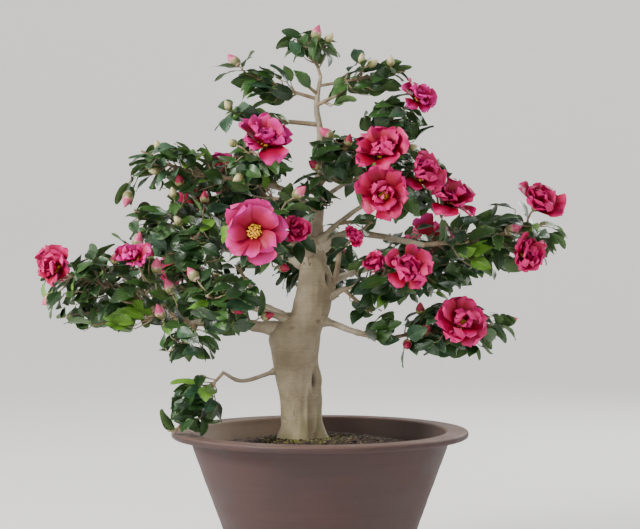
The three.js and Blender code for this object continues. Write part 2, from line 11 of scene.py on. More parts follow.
import bpy
import numpy as np
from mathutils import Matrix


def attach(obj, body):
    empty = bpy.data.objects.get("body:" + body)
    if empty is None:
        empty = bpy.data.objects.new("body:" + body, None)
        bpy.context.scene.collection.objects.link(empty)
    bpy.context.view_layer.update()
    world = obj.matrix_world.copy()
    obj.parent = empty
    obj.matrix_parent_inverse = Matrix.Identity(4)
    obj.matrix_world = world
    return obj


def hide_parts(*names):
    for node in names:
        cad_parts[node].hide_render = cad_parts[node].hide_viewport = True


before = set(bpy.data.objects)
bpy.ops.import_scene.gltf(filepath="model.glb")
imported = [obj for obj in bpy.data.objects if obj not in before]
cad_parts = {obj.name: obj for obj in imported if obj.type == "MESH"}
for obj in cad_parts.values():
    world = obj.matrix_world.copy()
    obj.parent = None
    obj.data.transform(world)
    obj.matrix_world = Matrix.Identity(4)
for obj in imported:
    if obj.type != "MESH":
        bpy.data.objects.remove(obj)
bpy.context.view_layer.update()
MM = 0.001

# %% [markdown]
# ## How the plant is laid out
# A bonsai is drawn by its limbs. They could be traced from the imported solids, but a limb is easier to
# understand and to change as a few points with a taper, so the same points that the solids were made
# from stand here, in millimetres. A mass of leaves is an ellipsoid with one stem through it, which
# starts at the tip of its limb, or at the share `at` along it.

# %% The trunk and the limbs
POT_HEIGHT, POT_FOOT, POT_NECK, POT_RIM = 200, 94, 163, 185
SOIL_CROWN = 190

# Height, middle and radius of the trunk, from its foot to its pruned top.
TRUNK_HEIGHTS = [190.3, 205, 237, 262, 293, 318, 331, 343, 362, 380, 398, 416, 430, 440]
TRUNK_MIDDLES = [-23, -23, -25, -28, -32, -32, -26, -15, -10, -5, -7, -9, -8, -7]
TRUNK_RADII = [30, 26.5, 26, 28, 29, 32, 29, 24.5, 24, 24, 19.5, 16, 12, 9.5]

# Each limb's first and last radius, and the points that it runs through.
LIMBS = {
    "leader": ((8, 2.2), [(-7, 3, 428), (-2, 6, 468), (-2, 8, 500), (1, 4, 562), (-4, 0, 605), (1, 0, 642)]),
    "bough_left_high": ((4.6, 3), [(-2, 6, 470), (-20, 0, 484), (-44, -8, 499), (-73, -10, 506)]),
    "bough_left_mid": ((5, 3), [(-14, 0, 405), (-50, -8, 417), (-87, -20, 421), (-114, -28, 424)]),
    "bough_left_low": ((8, 4.2), [(-32, 0, 322), (-73, -10, 328), (-118, -20, 335), (-161, -28, 333)]),
    "bough_left_inner": ((4.6, 3), [(-32, -2, 332), (-65, -25, 347), (-86, -50, 354)]),
    "bough_left_droop": ((3, 2), [(-34, 0, 284), (-68, -8, 268), (-97, -24, 262), (-119, -40, 274)]),
    "bough_front": ((4.4, 2.8), [(-11, -4, 418), (-25, -35, 429), (-43, -60, 433)]),
    "bough_right_up": ((4, 2.6), [(-7, 0, 430), (12, -8, 448), (32, -18, 465), (53, -35, 478)]),
    "bough_right_high": ((5.4, 3.2), [(-8, 0, 422), (31, -4, 444), (74, -12, 441), (129, -20, 430)]),
    "bough_right_mid": ((4.2, 2.6), [(-8, 0, 356), (27, -12, 374), (49, -30, 382)]),
    "bough_right_low": ((4.8, 2.6), [(-18, 0, 338), (18, -4, 332), (56, -14, 318), (88, -22, 315)]),
    "bough_right_top": ((2.6, 2), [(-1, 7, 524), (27, 0, 537), (57, -6, 551)]),
    "bough_back_left": ((5, 3), [(-30, 4, 334), (-62, 48, 349), (-98, 80, 360)]),
    "bough_back_right": ((5, 3), [(-6, 4, 374), (32, 52, 391), (65, 82, 401)]),
    "bough_back": ((4.4, 2.8), [(-11, 4, 354), (-7, 56, 378), (-4, 88, 391)]),
    "bough_back_left_high": ((3.8, 2.6), [(-4, 5, 456), (-26, 40, 473), (-46, 65, 489)]),
    "bough_back_right_high": ((3.4, 2.4), [(-2, 8, 484), (19, 40, 501), (38, 65, 513)]),
}
print("limbs:", len(LIMBS))

# %% The masses of leaves
# Name, limb, share along the limb, centre, radii and the stem's far end.
MASSES = [
    ("apex", "leader", 1, (-12, 0, 679), (50, 38, 30), (-31, -5, 696)),
    ("top_right", "leader", 0.93, (67, 5, 642), (60, 42, 30), (119, 5, 650)),
    ("top_left", "leader", 0.84, (-63, -5, 631), (52, 42, 34), (-105, -8, 651)),
    ("left_wisp", "leader", 0.68, (-78, -5, 589), (52, 38, 22), (-123, -8, 603)),
    ("right_top", "bough_right_top", 1, (91, -8, 591), (52, 48, 40), (118, -12, 608)),
    ("upper_centre", "leader", 0.42, (22, -20, 535), (47, 52, 42), (36, -34, 566)),
    ("left_high_inner", "bough_left_high", 0.75, (-76, -40, 527), (49, 55, 39), (-87, -70, 551)),
    ("left_high_outer", "bough_left_high", 1, (-175, -5, 526), (72, 60, 42), (-237, -5, 555)),
    ("left_mid", "bough_left_mid", 1, (-179, 10, 447), (83, 70, 53), (-250, 0, 484)),
    ("left_inner", "bough_left_inner", 1, (-107, -70, 358), (63, 60, 48), (-141, -120, 372)),
    ("left_low", "bough_left_low", 1, (-258, -20, 377), (94, 78, 62), (-337, -20, 397)),
    ("left_droop", "bough_left_droop", 1, (-151, -60, 237), (41, 40, 56), (-186, -72, 188)),
    ("front", "bough_front", 1, (-69, -95, 437), (57, 55, 52), (-98, -135, 440)),
    ("right_blossom", "bough_right_up", 1, (101, -55, 504), (73, 62, 53), (160, -60, 486)),
    ("right_far", "bough_right_high", 1, (222, -20, 441), (89, 60, 52), (296, -20, 462)),
    ("right_mid", "bough_right_mid", 1, (74, -60, 390), (58, 55, 41), (112, -90, 402)),
    ("right_low", "bough_right_low", 1, (154, -30, 328), (96, 62, 42), (240, -30, 330)),
    ("back_left", "bough_back_left", 1, (-159, 110, 370), (95, 70, 61), (-241, 130, 392)),
    ("back_right", "bough_back_right", 1, (132, 115, 409), (106, 72, 58), (227, 130, 430)),
    ("back", "bough_back", 1, (-7, 140, 409), (70, 62, 64), (-8, 192, 436)),
    ("back_left_high", "bough_back_left_high", 1, (-111, 90, 504), (81, 66, 55), (-173, 110, 529)),
    ("back_right_high", "bough_back_right_high", 1, (72, 80, 532), (73, 66, 60), (122, 100, 568)),
]

# Sprays close to the trunk, between the masses. They have no solid of their own.
SPRAYS = [
    ("heart_left", "bough_left_high", 0.45, (-44, -42, 474), (42, 38, 38), (-58, -64, 488)),
    ("heart_centre", "leader", 0.26, (-3, -34, 494), (32, 32, 42), (4, -54, 512)),
    ("top_inner_left", "leader", 0.87, (-22, -12, 634), (26, 28, 30), (-34, -22, 644)),
    ("top_inner_right", "leader", 0.8, (24, -14, 618), (28, 28, 28), (38, -24, 628)),
    ("heart_low", "bough_left_inner", 0.55, (-94, -60, 394), (42, 38, 38), (-104, -84, 408)),
    ("heart_right", "bough_right_mid", 0.55, (54, -30, 354), (38, 36, 34), (66, -50, 346)),
    ("heart_top", "bough_right_up", 0.5, (54, -32, 460), (28, 30, 28), (66, -44, 456)),
    ("left_front", "bough_left_mid", 0.8, (-138, -52, 432), (50, 40, 42), (-160, -78, 440)),
    ("left_under", "bough_left_low", 0.95, (-158, -48, 316), (54, 42, 36), (-186, -62, 298)),
    ("right_low_inner", "bough_right_low", 0.62, (76, -36, 330), (38, 36, 32), (92, -54, 338)),
]

# A thin shoot that rises beside the trunk to the bough above: its path, and first and last radius.
SIDE_SHOOT = ([(8, -4, 368), (18, -8, 386), (23, -9, 412), (27, -6, 452)], 4.4, 2.8)
print("masses:", len(MASSES), "and sprays:", len(SPRAYS))

# %% The blossoms and buds
# The open blossoms: mass, heart, the way it looks, radius, and how far open it is, from 0 to 1.
BLOOMS = [
    ("front", (-74, -138, 444), (-0.1, -1, 0.05), 36, 0.9),
    ("heart_left", (-27, -88, 444), (0.1, -0.9, 0.3), 18, 0.4),
    ("heart_top", (38, -58, 437), (0.3, -0.8, 0.4), 14, 0.3),
    ("left_high_inner", (-66, -84, 545), (0.1, -0.7, 0.7), 32, 0.7),
    ("right_top", (118, -14, 608), (0.45, -0.7, 0.5), 23, 0.75),
    ("right_blossom", (76, -88, 533), (-0.2, -0.8, 0.6), 31, 0.7),
    ("right_blossom", (76, -100, 487), (-0.1, -1, 0.1), 31, 0.8),
    ("right_blossom", (116, -88, 508), (0.4, -0.8, 0.4), 27, 0.6),
    ("right_blossom", (151, -72, 474), (0.4, -0.4, 0.8), 31, 0.8),
    ("right_far", (264, -30, 475), (0.35, -0.7, 0.6), 30, 0.75),
    ("right_far", (245, -42, 421), (0.5, -0.85, -0.15), 27, 0.6),
    ("right_mid", (101, -88, 398), (0.2, -0.9, 0.3), 28, 0.7),
    ("right_mid", (72, -78, 404), (-0.5, -0.7, 0.3), 19, 0.4),
    ("right_low", (168, -68, 333), (0.2, -0.9, 0.4), 31, 0.8),
    ("left_low", (-320, -34, 401), (-0.4, -0.9, 0.15), 26, 0.6),
    ("left_low", (-220, -72, 408), (-0.2, -0.7, 0.7), 23, 0.5),
    ("left_mid", (-160, 62, 480), (-0.3, 0.6, 0.7), 27, 0.7),
    ("back_left", (-190, 158, 398), (-0.3, 0.9, 0.3), 31, 0.8),
    ("back_right", (150, 168, 434), (0.2, 0.9, 0.4), 32, 0.8),
    ("back_right", (212, 118, 440), (0.8, 0.4, 0.4), 27, 0.6),
    ("back", (-20, 190, 430), (-0.1, 1, 0.2), 33, 0.85),
    ("back_left_high", (-128, 142, 522), (-0.2, 0.8, 0.5), 30, 0.7),
    ("back_right_high", (92, 126, 556), (0.3, 0.8, 0.5), 29, 0.7),
]

# Buds that stand out: mass, place, and whether they are closed and cream, or show pink or red.
BUDS = [
    ("left_low", (-330, -54, 363), "pink"), ("left_high_outer", (-240, -10, 487), "pink"),
    ("left_high_outer", (-202, -10, 555), "cream"), ("left_mid", (-173, -30, 510), "red"),
    ("left_high_outer", (-206, -10, 522), "cream"), ("left_mid", (-181, -30, 495), "cream"),
    ("left_high_inner", (-108, -40, 555), "cream"), ("left_mid", (-140, -55, 488), "red"),
    ("left_mid", (-174, -40, 460), "cream"), ("left_mid", (-164, -45, 433), "cream"),
    ("left_inner", (-152, -90, 395), "pink"), ("left_low", (-183, -60, 380), "pink"),
    ("left_low", (-194, -60, 349), "pink"), ("left_low", (-222, -45, 436), "pink"),
    ("left_low", (-249, -52, 414), "red"), ("left_low", (-206, -58, 420), "red"),
    ("left_low", (-197, -66, 405), "pink"),
    ("top_left", (-108, -12, 660), "pink"), ("left_wisp", (-114, -20, 603), "cream"),
    ("apex", (-4, -12, 694), "pink"), ("apex", (12, -10, 688), "cream"),
    ("top_right", (52, -10, 662), "cream"), ("top_right", (66, -14, 656), "cream"),
    ("top_right", (88, -10, 660), "cream"), ("upper_centre", (7, -50, 566), "pink"),
    ("upper_centre", (35, -40, 558), "red"), ("upper_centre", (-8, -55, 527), "red"),
    ("front", (-24, -100, 492), "pink"), ("left_high_inner", (-99, -70, 510), "cream"),
    ("left_inner", (-62, -88, 345), "red"), ("left_inner", (-98, -104, 352), "red"),
    ("right_low", (129, -60, 329), "red"), ("right_low", (106, -50, 308), "red"),
    ("right_low", (122, -50, 353), "red"), ("left_droop", (-183, -60, 209), "cream"),
    ("front", (-42, -100, 402), "red"),
    ("back", (30, 178, 424), "pink"), ("back", (-45, 176, 440), "cream"),
    ("back_left", (-228, 128, 410), "pink"), ("back_left", (-140, 160, 392), "cream"),
    ("back_right", (190, 150, 432), "pink"), ("back_right", (228, 112, 416), "cream"),
    ("back_left_high", (-176, 100, 520), "pink"), ("back_left_high", (-96, 132, 532), "cream"),
    ("back_right_high", (60, 124, 572), "pink"), ("back_right_high", (122, 96, 560), "cream"),
    ("left_mid", (-205, 48, 470), "pink"), ("left_low", (-290, 30, 398), "cream"),
    ("right_far", (236, -46, 449), "pink"), ("right_low", (236, -14, 336), "pink"),
]

# Places round which twigs bear bright young leaves, and how near to one a twig has to end.
YOUNG_WITHIN = 22
YOUNG_SHOOTS = [
    (159, -30, 409), (190, -30, 400), (-162, -10, 545), (-115, -60, 256), (115, -50, 300),
    (-106, -10, 611), (-50, -10, 586), (150, 150, 400), (-180, 140, 350), (20, 150, 440),
]
print("blossoms:", len(BLOOMS), "and buds:", len(BUDS))

# %% [markdown]
# ## Paths and tubes
# Nearly everything on a plant is a tube: a trunk, a twig and a bud are, and a leaf or a petal is a tube
# that is squeezed flat. So one kind of surface makes them all: rings of points along a path, with a
# point at each end that closes it. Rings could be joined one by one in a loop, but thousands of leaves
# would be slow that way, so all the tubes of one kind are worked out as one array.

# %% Paths


def smooth_path(points, places):
    """Points at `places`, from 0 to 1, on a smooth curve through `points`.

    Between b and c, with a before and d after, and s from 0 to 1, the curve is
    b + s (c - a) / 2 + s² (2a - 5b + 4c - d) / 2 + s³ (3b - a - 3c + d) / 2.
    """
    points = np.asarray(points, float)
    before, after = 2 * points[0] - points[1], 2 * points[-1] - points[-2]
    spine = np.vstack([before, points, after])
    place = np.clip(places, 0, 1) * (len(points) - 1)
    low = np.minimum(place.astype(int), len(points) - 2)
    s = (place - low)[:, None]
    a, b, c, d = (spine[low + i] for i in range(4))
    return b + s * (c - a) / 2 + s**2 * (2 * a - 5 * b + 4 * c - d) / 2 + s**3 * (3 * b - a - 3 * c + d) / 2


def unit(vectors):
    """Vectors with their length made 1, along the last axis."""
    return vectors / np.maximum(np.linalg.norm(vectors, axis=-1, keepdims=True), 1e-9)


def level_for(ahead):
    """A direction to measure turns from about `ahead`: up, or along X where `ahead` is upright."""
    upright = np.abs(ahead[..., 2:]) > 0.9
    return np.where(upright, np.array([1.0, 0, 0]), np.array([0, 0, 1.0]))


def across_axis(axis):
    """Two directions across an axis, square to it and to each other, for arrays of axes."""
    first = unit(np.cross(level_for(axis), axis))
    return first, np.cross(axis, first)


def even_turns(sides):
    """The angles of even steps round a full turn."""
    return np.arange(sides) * 2 * math.pi / sides


def spokes(angle, first, second):
    """Directions cos a * first + sin a * second, for each angle in a row and arrays of the two."""
    return np.cos(angle)[:, None] * first[..., None, :] + np.sin(angle)[:, None] * second[..., None, :]


def around_path(spine, radii, sides):
    """Round rings along paths: each point is spine + radius (cos a * side + sin a * up).

    `spine` is (n, rings, 3), `radii` is (n, rings) or (n, rings, sides), and the rings turn
    right-handed about the path.
    """
    ahead = unit(np.gradient(spine, axis=1))
    level = level_for(unit(spine[:, -1:] - spine[:, :1]))
    side = unit(np.cross(level, ahead))
    reach = radii[..., None] if radii.ndim == 2 else radii
    return spine[:, :, None] + reach[..., None] * spokes(even_turns(sides), side, np.cross(ahead, side))


def bowed(start, end, places, bow=0.06):
    """Points between starts and ends (n, 3), bowed down by `bow` of their distance as a parabola:
    start + s (end - start), lowered by 4 bow s (1 - s) times the distance."""
    places = np.atleast_2d(np.asarray(places, float))
    straight_line = start[:, None] + places[..., None] * (end - start)[:, None]
    drop = 4 * bow * places * (1 - places) * np.linalg.norm(end - start, axis=-1)[:, None]
    return straight_line - drop[..., None] * np.array([0, 0, 1.0])


print("middle of a level twig of 100:", bowed(np.zeros((1, 3)), np.array([[100.0, 0, 0]]), 0.5)[0, 0])

# %% Tubes as skins


def ring_quads(r, k):
    """Corners of the faces between r rings of k points, in rows from the first ring to the last."""
    column = np.arange(k)
    after = (column + 1) % k
    row = np.arange(r - 1)[:, None] * k
    return np.stack([row + column, row + after, row + k + after, row + k + column], -1)


def skin(rings, ends, across=None, along=None, own=None, kind=0):
    """Closed tubes, ready to be joined in a piece.

    `rings` (n, r, k, 3) are the points, and `ends` (n, 2, 3) the head and tail that close each tube.
    Faces lie in r + 1 rows of k: a fan at the head, the rows between rings, and a fan at the tail.
    `kind` is the material of each face cell. Every point keeps a `spot`: its place across, its place
    along, and a number of its tube's own.
    """
    count, r, k = rings.shape[:3]
    column = np.arange(k)
    after = (column + 1) % k
    head = np.stack([np.full(k, r * k), after, column], -1)
    tail = np.stack([np.full(k, r * k + 1), (r - 1) * k + column, (r - 1) * k + after], -1)
    corners = np.concatenate([head.ravel(), ring_quads(r, k).ravel(), tail.ravel()])
    totals = np.repeat([3, 4, 3], [k, (r - 1) * k, k])

    left, right, middle = column / k, (column + 1) / k, (column + 0.5) / k
    level = np.arange(1, r + 1) / (r + 1)
    first, last = np.full(k, level[0]), np.full(k, level[-1])
    head_chart = np.stack([middle, 0 * middle, right, first, left, first], -1)
    tail_chart = np.stack([middle, 0 * middle + 1, left, last, right, last], -1)
    low, high = level[:-1, None], level[:-1, None] + 1 / (r + 1)
    start, end, low, high = np.broadcast_arrays(left, right, low, high)
    body_chart = np.stack([start, low, end, low, end, high, start, high], -1)
    chart = np.concatenate([c.reshape(-1, 2) for c in (head_chart, body_chart, tail_chart)])

    own = np.zeros(count) if own is None else own
    spot = np.zeros((count, r * k + 2, 3))
    spot[:, : r * k, 0] = np.tile(left if across is None else across, r)
    spot[:, : r * k, 1] = np.repeat(level if along is None else along, k)
    spot[:, -1, 1] = 1
    spot[..., 2] = own[:, None]
    return {
        "points": np.concatenate([rings.reshape(count, r * k, 3), ends], axis=1),
        "corners": corners,
        "totals": totals,
        "chart": chart,
        "spot": spot,
        "kind": np.tile(np.broadcast_to(kind, (r + 1, k)).ravel(), count),
        "size": (
            np.linalg.norm(np.diff(rings, axis=2), axis=-1).sum(2).mean(),
            np.linalg.norm(np.diff(rings, axis=1), axis=-1).sum(1).mean(),
        ),
    }


def tube_skin(spine, radii, sides, own=None, kind=0):
    """Skins of round tubes along spines, with blunt ends a third of a radius proud."""
    radii = np.broadcast_to(radii, spine.shape[:2])
    ahead = unit(np.gradient(spine, axis=1))
    head = spine[:, 0] - ahead[:, 0] * radii[:, :1] / 3
    tail = spine[:, -1] + ahead[:, -1] * radii[:, -1:] / 3
    return skin(around_path(spine, radii, sides), np.stack([head, tail], 1), own=own, kind=kind)


print("faces between 3 rings of 4 points:", ring_quads(3, 4).size // 4)

# %% [markdown]
# ## From skins to pieces
# A piece joins any number of skins in one mesh. It also needs a flat map on which no two faces lie
# over each other, so that its finish can be kept as a picture. Blender could unwrap it, but it would
# break a thousand leaves into scraps, so each tube gets its own cell of the map, unrolled.

# %% Charts and pieces
CHART_MARGIN = 0.04
SMOOTH_ANGLE = math.radians(50)


def chart_cells(skins):
    """Each skin's corners on the unit square: a band for each skin, as high as its share of the area,
    cut into one cell for each tube, as near as can be to the tube's own proportions."""
    areas = [s["points"].shape[0] * s["size"][0] * s["size"][1] for s in skins]
    floor = 0.0
    charts = []
    for item, area in zip(skins, areas):
        count = item["points"].shape[0]
        height = area / sum(areas)
        rows = max(1, round(math.sqrt(count * height * item["size"][0] / item["size"][1])))
        columns = math.ceil(count / rows)
        index = np.arange(count)
        corner = CHART_MARGIN + (1 - 2 * CHART_MARGIN) * item["chart"]
        u = ((index % columns)[:, None] + corner[:, 0]) / columns
        v = floor + ((index // columns)[:, None] + corner[:, 1]) * height / rows
        charts.append(np.stack([u, v], -1).reshape(-1, 2))
        floor += height
    return np.concatenate(charts)


def add_object(name, data):
    """A new object in the scene, at the origin, unturned and unscaled."""
    made = bpy.data.objects.new(name, data)
    bpy.context.scene.collection.objects.link(made)
    return made


def make_piece(name, skins, materials, nodes=()):
    """One mesh object from skins. It rides on the plant's only body and stands for `nodes`."""
    points = np.concatenate([s["points"].reshape(-1, 3) for s in skins])
    corners = []
    totals = []
    first = 0
    for item in skins:
        count, size = item["points"].shape[:2]
        starts = first + np.arange(count)[:, None] * size
        corners.append((starts + item["corners"]).ravel())
        totals.append(np.tile(item["totals"], count))
        first += count * size
    corners, totals = np.concatenate(corners), np.concatenate(totals)
    mesh = bpy.data.meshes.new(name)
    mesh.vertices.add(len(points))
    mesh.vertices.foreach_set("co", points.ravel())
    mesh.loops.add(len(corners))
    mesh.loops.foreach_set("vertex_index", corners)
    mesh.polygons.add(len(totals))
    mesh.polygons.foreach_set("loop_start", np.concatenate([[0], np.cumsum(totals)[:-1]]))
    mesh.polygons.foreach_set("material_index", np.concatenate([s["kind"] for s in skins]))
    mesh.polygons.foreach_set("use_smooth", np.ones(len(totals), bool))
    mesh.update(calc_edges=True)
    mesh.uv_layers.new(name="OFBake").data.foreach_set("uv", chart_cells(skins).ravel())
    spot = mesh.attributes.new("spot", "FLOAT_VECTOR", "POINT")
    spot.data.foreach_set("vector", np.concatenate([s["spot"].reshape(-1, 3) for s in skins]).ravel())
    mesh.set_sharp_from_angle(angle=SMOOTH_ANGLE)
    for material in materials:
        mesh.materials.append(material)
    made = add_object(name, mesh)
    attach(made, "root")
    if nodes:
        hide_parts(*nodes)
    print(f"{name}: {len(totals)} faces, {sum(totals - 2)} triangles")


# %% [markdown]
# ## Waves for natural surfaces
# Bark, clay and earth are never even. Noise could be added by a displacement modifier, but here it is
# worked out with the shape: a few plane waves in seeded directions, added up, make a soft noise that
# any array of points can be put through.

# %% Waves


def waves(points, size, seed, count=9):
    """Soft noise of about -1 to 1 with features of `size`: the sum of plane waves sin(k . p + f),
    their directions k and phases f drawn from `seed`, over the square root of half their number."""
    draw = np.random.default_rng(seed)
    direction = unit(draw.normal(size=(count, 3))) * 2 * math.pi / size
    direction *= draw.uniform(0.6, 1.5, size=(count, 1))
    phase = draw.uniform(0, 2 * math.pi, count)
    return np.sin(points @ direction.T + phase).sum(-1) / math.sqrt(count / 2) / 1.6


print("waves from", waves(np.zeros((1, 3)), 1, 1).round(2)[0])

# %% [markdown]
# ## Finishes: shared effects
# The finishes share a few effects: soft blotches, fine grain and thin rings. Each is a node group with
# named inputs, so that clay, bark and leaf can each place it with values of their own. A group gives
# only masks and heights. The shader that turns them into a finish stays in each material.

# %% Node helpers


def feed(tree, socket, value):
    """Sets an input to a value, or links it to the socket that gives its value."""
    if isinstance(value, bpy.types.NodeSocket):
        tree.links.new(value, socket)
    else:
        socket.default_value = value


def add_node(tree, kind, settings=None, **inputs):
    """A new node. `settings` are its properties. Inputs go by name, or by number as `_0`."""
    made = tree.nodes.new(kind)
    for key, value in (settings or {}).items():
        setattr(made, key, value)
    for key, value in inputs.items():
        feed(tree, made.inputs[int(key[1:]) if key[0] == "_" else key.replace("_", " ")], value)
    return made


def colour(red, green, blue_sheen):
    """A colour given as seen on screen, from 0 to 255, in the linear values that shaders take."""
    seen = np.array([red, green, blue_sheen]) / 255
    linear = np.where(seen < 0.04045, seen / 12.92, ((seen + 0.055) / 1.055) ** 2.4)
    return (*linear.tolist(), 1.0)


def mix(tree, share, first, second):
    """The colour between two, at `share` of the way."""
    return add_node(tree, "ShaderNodeMix", {"data_type": "RGBA"}, _0=share, _6=first, _7=second).outputs[2]


def calculate(tree, way, first, second=0.0, third=0.0):
    """One Math node's value."""
    return add_node(tree, "ShaderNodeMath", {"operation": way}, _0=first, _1=second, _2=third).outputs[0]


def remap(tree, value, low, high, to_low=0.0, to_high=1.0):
    """A value's stretch from low to high, carried to another stretch, smoothly and within it."""
    made = add_node(
        tree, "ShaderNodeMapRange", {"interpolation_type": "SMOOTHSTEP"},
        Value=value, From_Min=low, From_Max=high, To_Min=to_low, To_Max=to_high,
    )
    return made.outputs["Result"]


def part_of(tree, vector, axis):
    """One coordinate of a vector."""
    return add_node(tree, "ShaderNodeSeparateXYZ", Vector=vector).outputs[axis]


def stretched(tree, place, scale):
    """Coordinates times a scale for each axis."""
    return add_node(tree, "ShaderNodeMapping", Vector=place, Scale=scale).outputs["Vector"]


def new_group(name, inputs):
    """An empty node group with named inputs, a Mask output, and its input node."""
    group = bpy.data.node_groups.new(name, "ShaderNodeTree")
    for label, (kind, value) in inputs.items():
        socket = group.interface.new_socket(label, in_out="INPUT", socket_type=kind)
        if value is not None:
            socket.default_value = value
    group.interface.new_socket("Mask", in_out="OUTPUT", socket_type="NodeSocketFloat")
    return group, group.nodes.new("NodeGroupInput").outputs


def end_group(group, mask):
    """Gives the group its result."""
    group.links.new(mask, group.nodes.new("NodeGroupOutput").inputs["Mask"])


print("half grey on screen is", round(colour(128, 128, 128)[0], 3), "in linear values")

# %% Blotches, grain and rings
VECTOR, VALUE = "NodeSocketVector", "NodeSocketFloat"


def noise_of_size(group, given, detail, roughness):
    """Noise with features as large as the group's Size."""
    per_metre = calculate(group, "DIVIDE", 1.0, given["Size"])
    noise = add_node(group, "ShaderNodeTexNoise", Vector=given["Vector"], Scale=per_metre)
    noise.inputs["Detail"].default_value = detail
    noise.inputs["Roughness"].default_value = roughness
    return noise.outputs["Fac"]


blotches, given = new_group(
    "Blotches", {"Vector": (VECTOR, None), "Size": (VALUE, 0.03), "Edge": (VALUE, 0.2)}
)
cloud = noise_of_size(blotches, given, 4.0, 0.55)
low_edge = calculate(blotches, "SUBTRACT", 0.5, given["Edge"])
high_edge = calculate(blotches, "ADD", 0.5, given["Edge"])
end_group(blotches, remap(blotches, cloud, low_edge, high_edge))

grain, given = new_group("Grain", {"Vector": (VECTOR, None), "Size": (VALUE, 0.001)})
end_group(grain, noise_of_size(grain, given, 6.0, 0.7))

rings, given = new_group(
    "Rings", {"Vector": (VECTOR, None), "Along": (VALUE, 0.0), "Gap": (VALUE, 0.003)}
)
wander = add_node(rings, "ShaderNodeTexNoise", Vector=given["Vector"], Scale=60.0, Detail=3.0).outputs["Fac"]
shifted = calculate(rings, "MULTIPLY_ADD", wander, 0.012, given["Along"])
turns = calculate(rings, "DIVIDE", shifted, given["Gap"])
broken = add_node(rings, "ShaderNodeTexNoise", {"noise_dimensions": "1D"}, W=turns, Scale=1.0, Detail=3.0)
end_group(rings, remap(rings, broken.outputs["Fac"], 0.35, 0.7))


def effect(tree, group, **inputs):
    """One of the shared effects placed in a material, with its own values."""
    return add_node(tree, "ShaderNodeGroup", {"node_tree": group}, **inputs).outputs["Mask"]


def start_material(name):
    """A new material's tree, its shader, and the object's coordinates."""
    material = bpy.data.materials.new(name)
    material.use_nodes = True
    tree = material.node_tree
    shader = tree.nodes["Principled BSDF"]
    place = tree.nodes.new("ShaderNodeTexCoord").outputs["Object"]
    return material, tree, shader, place


def spot_of(tree):
    """Where a point is on its own leaf, petal or limb: across, along, and its tube's own number."""
    spot = add_node(tree, "ShaderNodeAttribute", {"attribute_name": "spot"}).outputs["Vector"]
    return add_node(tree, "ShaderNodeSeparateXYZ", Vector=spot).outputs


def bump(tree, height, strength, distance):
    """A normal that follows `height`."""
    return add_node(tree, "ShaderNodeBump", Height=height, Strength=strength, Distance=distance).outputs[0]


def finish(tree, shader, **inputs):
    """Feeds the shader. Constants are set on its own sockets."""
    for key, value in inputs.items():
        feed(tree, shader.inputs[key.replace("_", " ")], value)


print("effects:", [g.name for g in bpy.data.node_groups])

# %% [markdown]
# ## Clay
# The pot is unglazed clay, fired to a mauve brown. It is matt, and its rim's flat top is a little paler,
# partly where hands and trays rub it and partly as a painted highlight where light falls on it. The wheel
# leaves faint level streaks. A single brown would look like plastic, so soft blotches, streaks that are
# stretched round the pot and a fine tooth are mixed. The inner wall above the soil is paler, partly from a
# crust of lime and partly
# as painted light: paler to the left, where light falls, and fading to the right, where shade falls.

# %% The clay's finish
RUBBED_AND_LIT_BAND = 3
# Where the crust and the painted light on the inner wall begin and are full, in metres: inside the outer
# wall's line, up the wall, and to the left.
CRUST_AND_LIGHT_IN, CRUST_AND_LIGHT_UP, CRUST_AND_LIGHT_LEFT = (0.001, 0.003), (0.15, 0.17), (0.04, -0.1)

clay, tree, shader, place = start_material("unglazed clay")
round_the_pot = stretched(tree, place, (0.12, 0.12, 2.2))
streak = effect(tree, blotches, Vector=round_the_pot, Size=0.012, Edge=0.22)
cloudy = effect(tree, blotches, Vector=place, Size=0.07, Edge=0.25)
tooth = effect(tree, grain, Vector=place, Size=0.0011)
body = mix(tree, cloudy, colour(56, 35, 33), colour(72, 48, 45))
body = mix(tree, calculate(tree, "MULTIPLY", streak, 0.3), body, colour(47, 32, 32))
height = part_of(tree, place, "Z")
# Wear and a painted highlight: the rim's flat top, in a thin band under its height, is made paler.
rubbed_and_lit = remap(tree, height, (POT_HEIGHT - RUBBED_AND_LIT_BAND) * MM, POT_HEIGHT * MM)
rubbed_and_lit = calculate(tree, "MULTIPLY", rubbed_and_lit, remap(tree, tooth, 0.3, 0.62, 0.35, 1.0))
body = mix(tree, rubbed_and_lit, body, colour(118, 93, 83))
speckle = remap(tree, tooth, 0.66, 0.74)
body = mix(tree, calculate(tree, "MULTIPLY", speckle, 0.5), body, colour(160, 136, 120))
# A point is on the inner wall where it lies nearer to the axis than the outer wall does at its height.
out_to_point = add_node(
    tree, "ShaderNodeVectorMath", {"operation": "LENGTH"}, Vector=stretched(tree, place, (1, 1, 0))
).outputs["Value"]
wall_slope = (POT_NECK - POT_FOOT) / POT_HEIGHT
out_to_wall = calculate(tree, "MULTIPLY_ADD", height, wall_slope, POT_FOOT * MM)
inside = remap(tree, calculate(tree, "SUBTRACT", out_to_wall, out_to_point), *CRUST_AND_LIGHT_IN)
inside = calculate(tree, "MULTIPLY", inside, remap(tree, height, *CRUST_AND_LIGHT_UP))
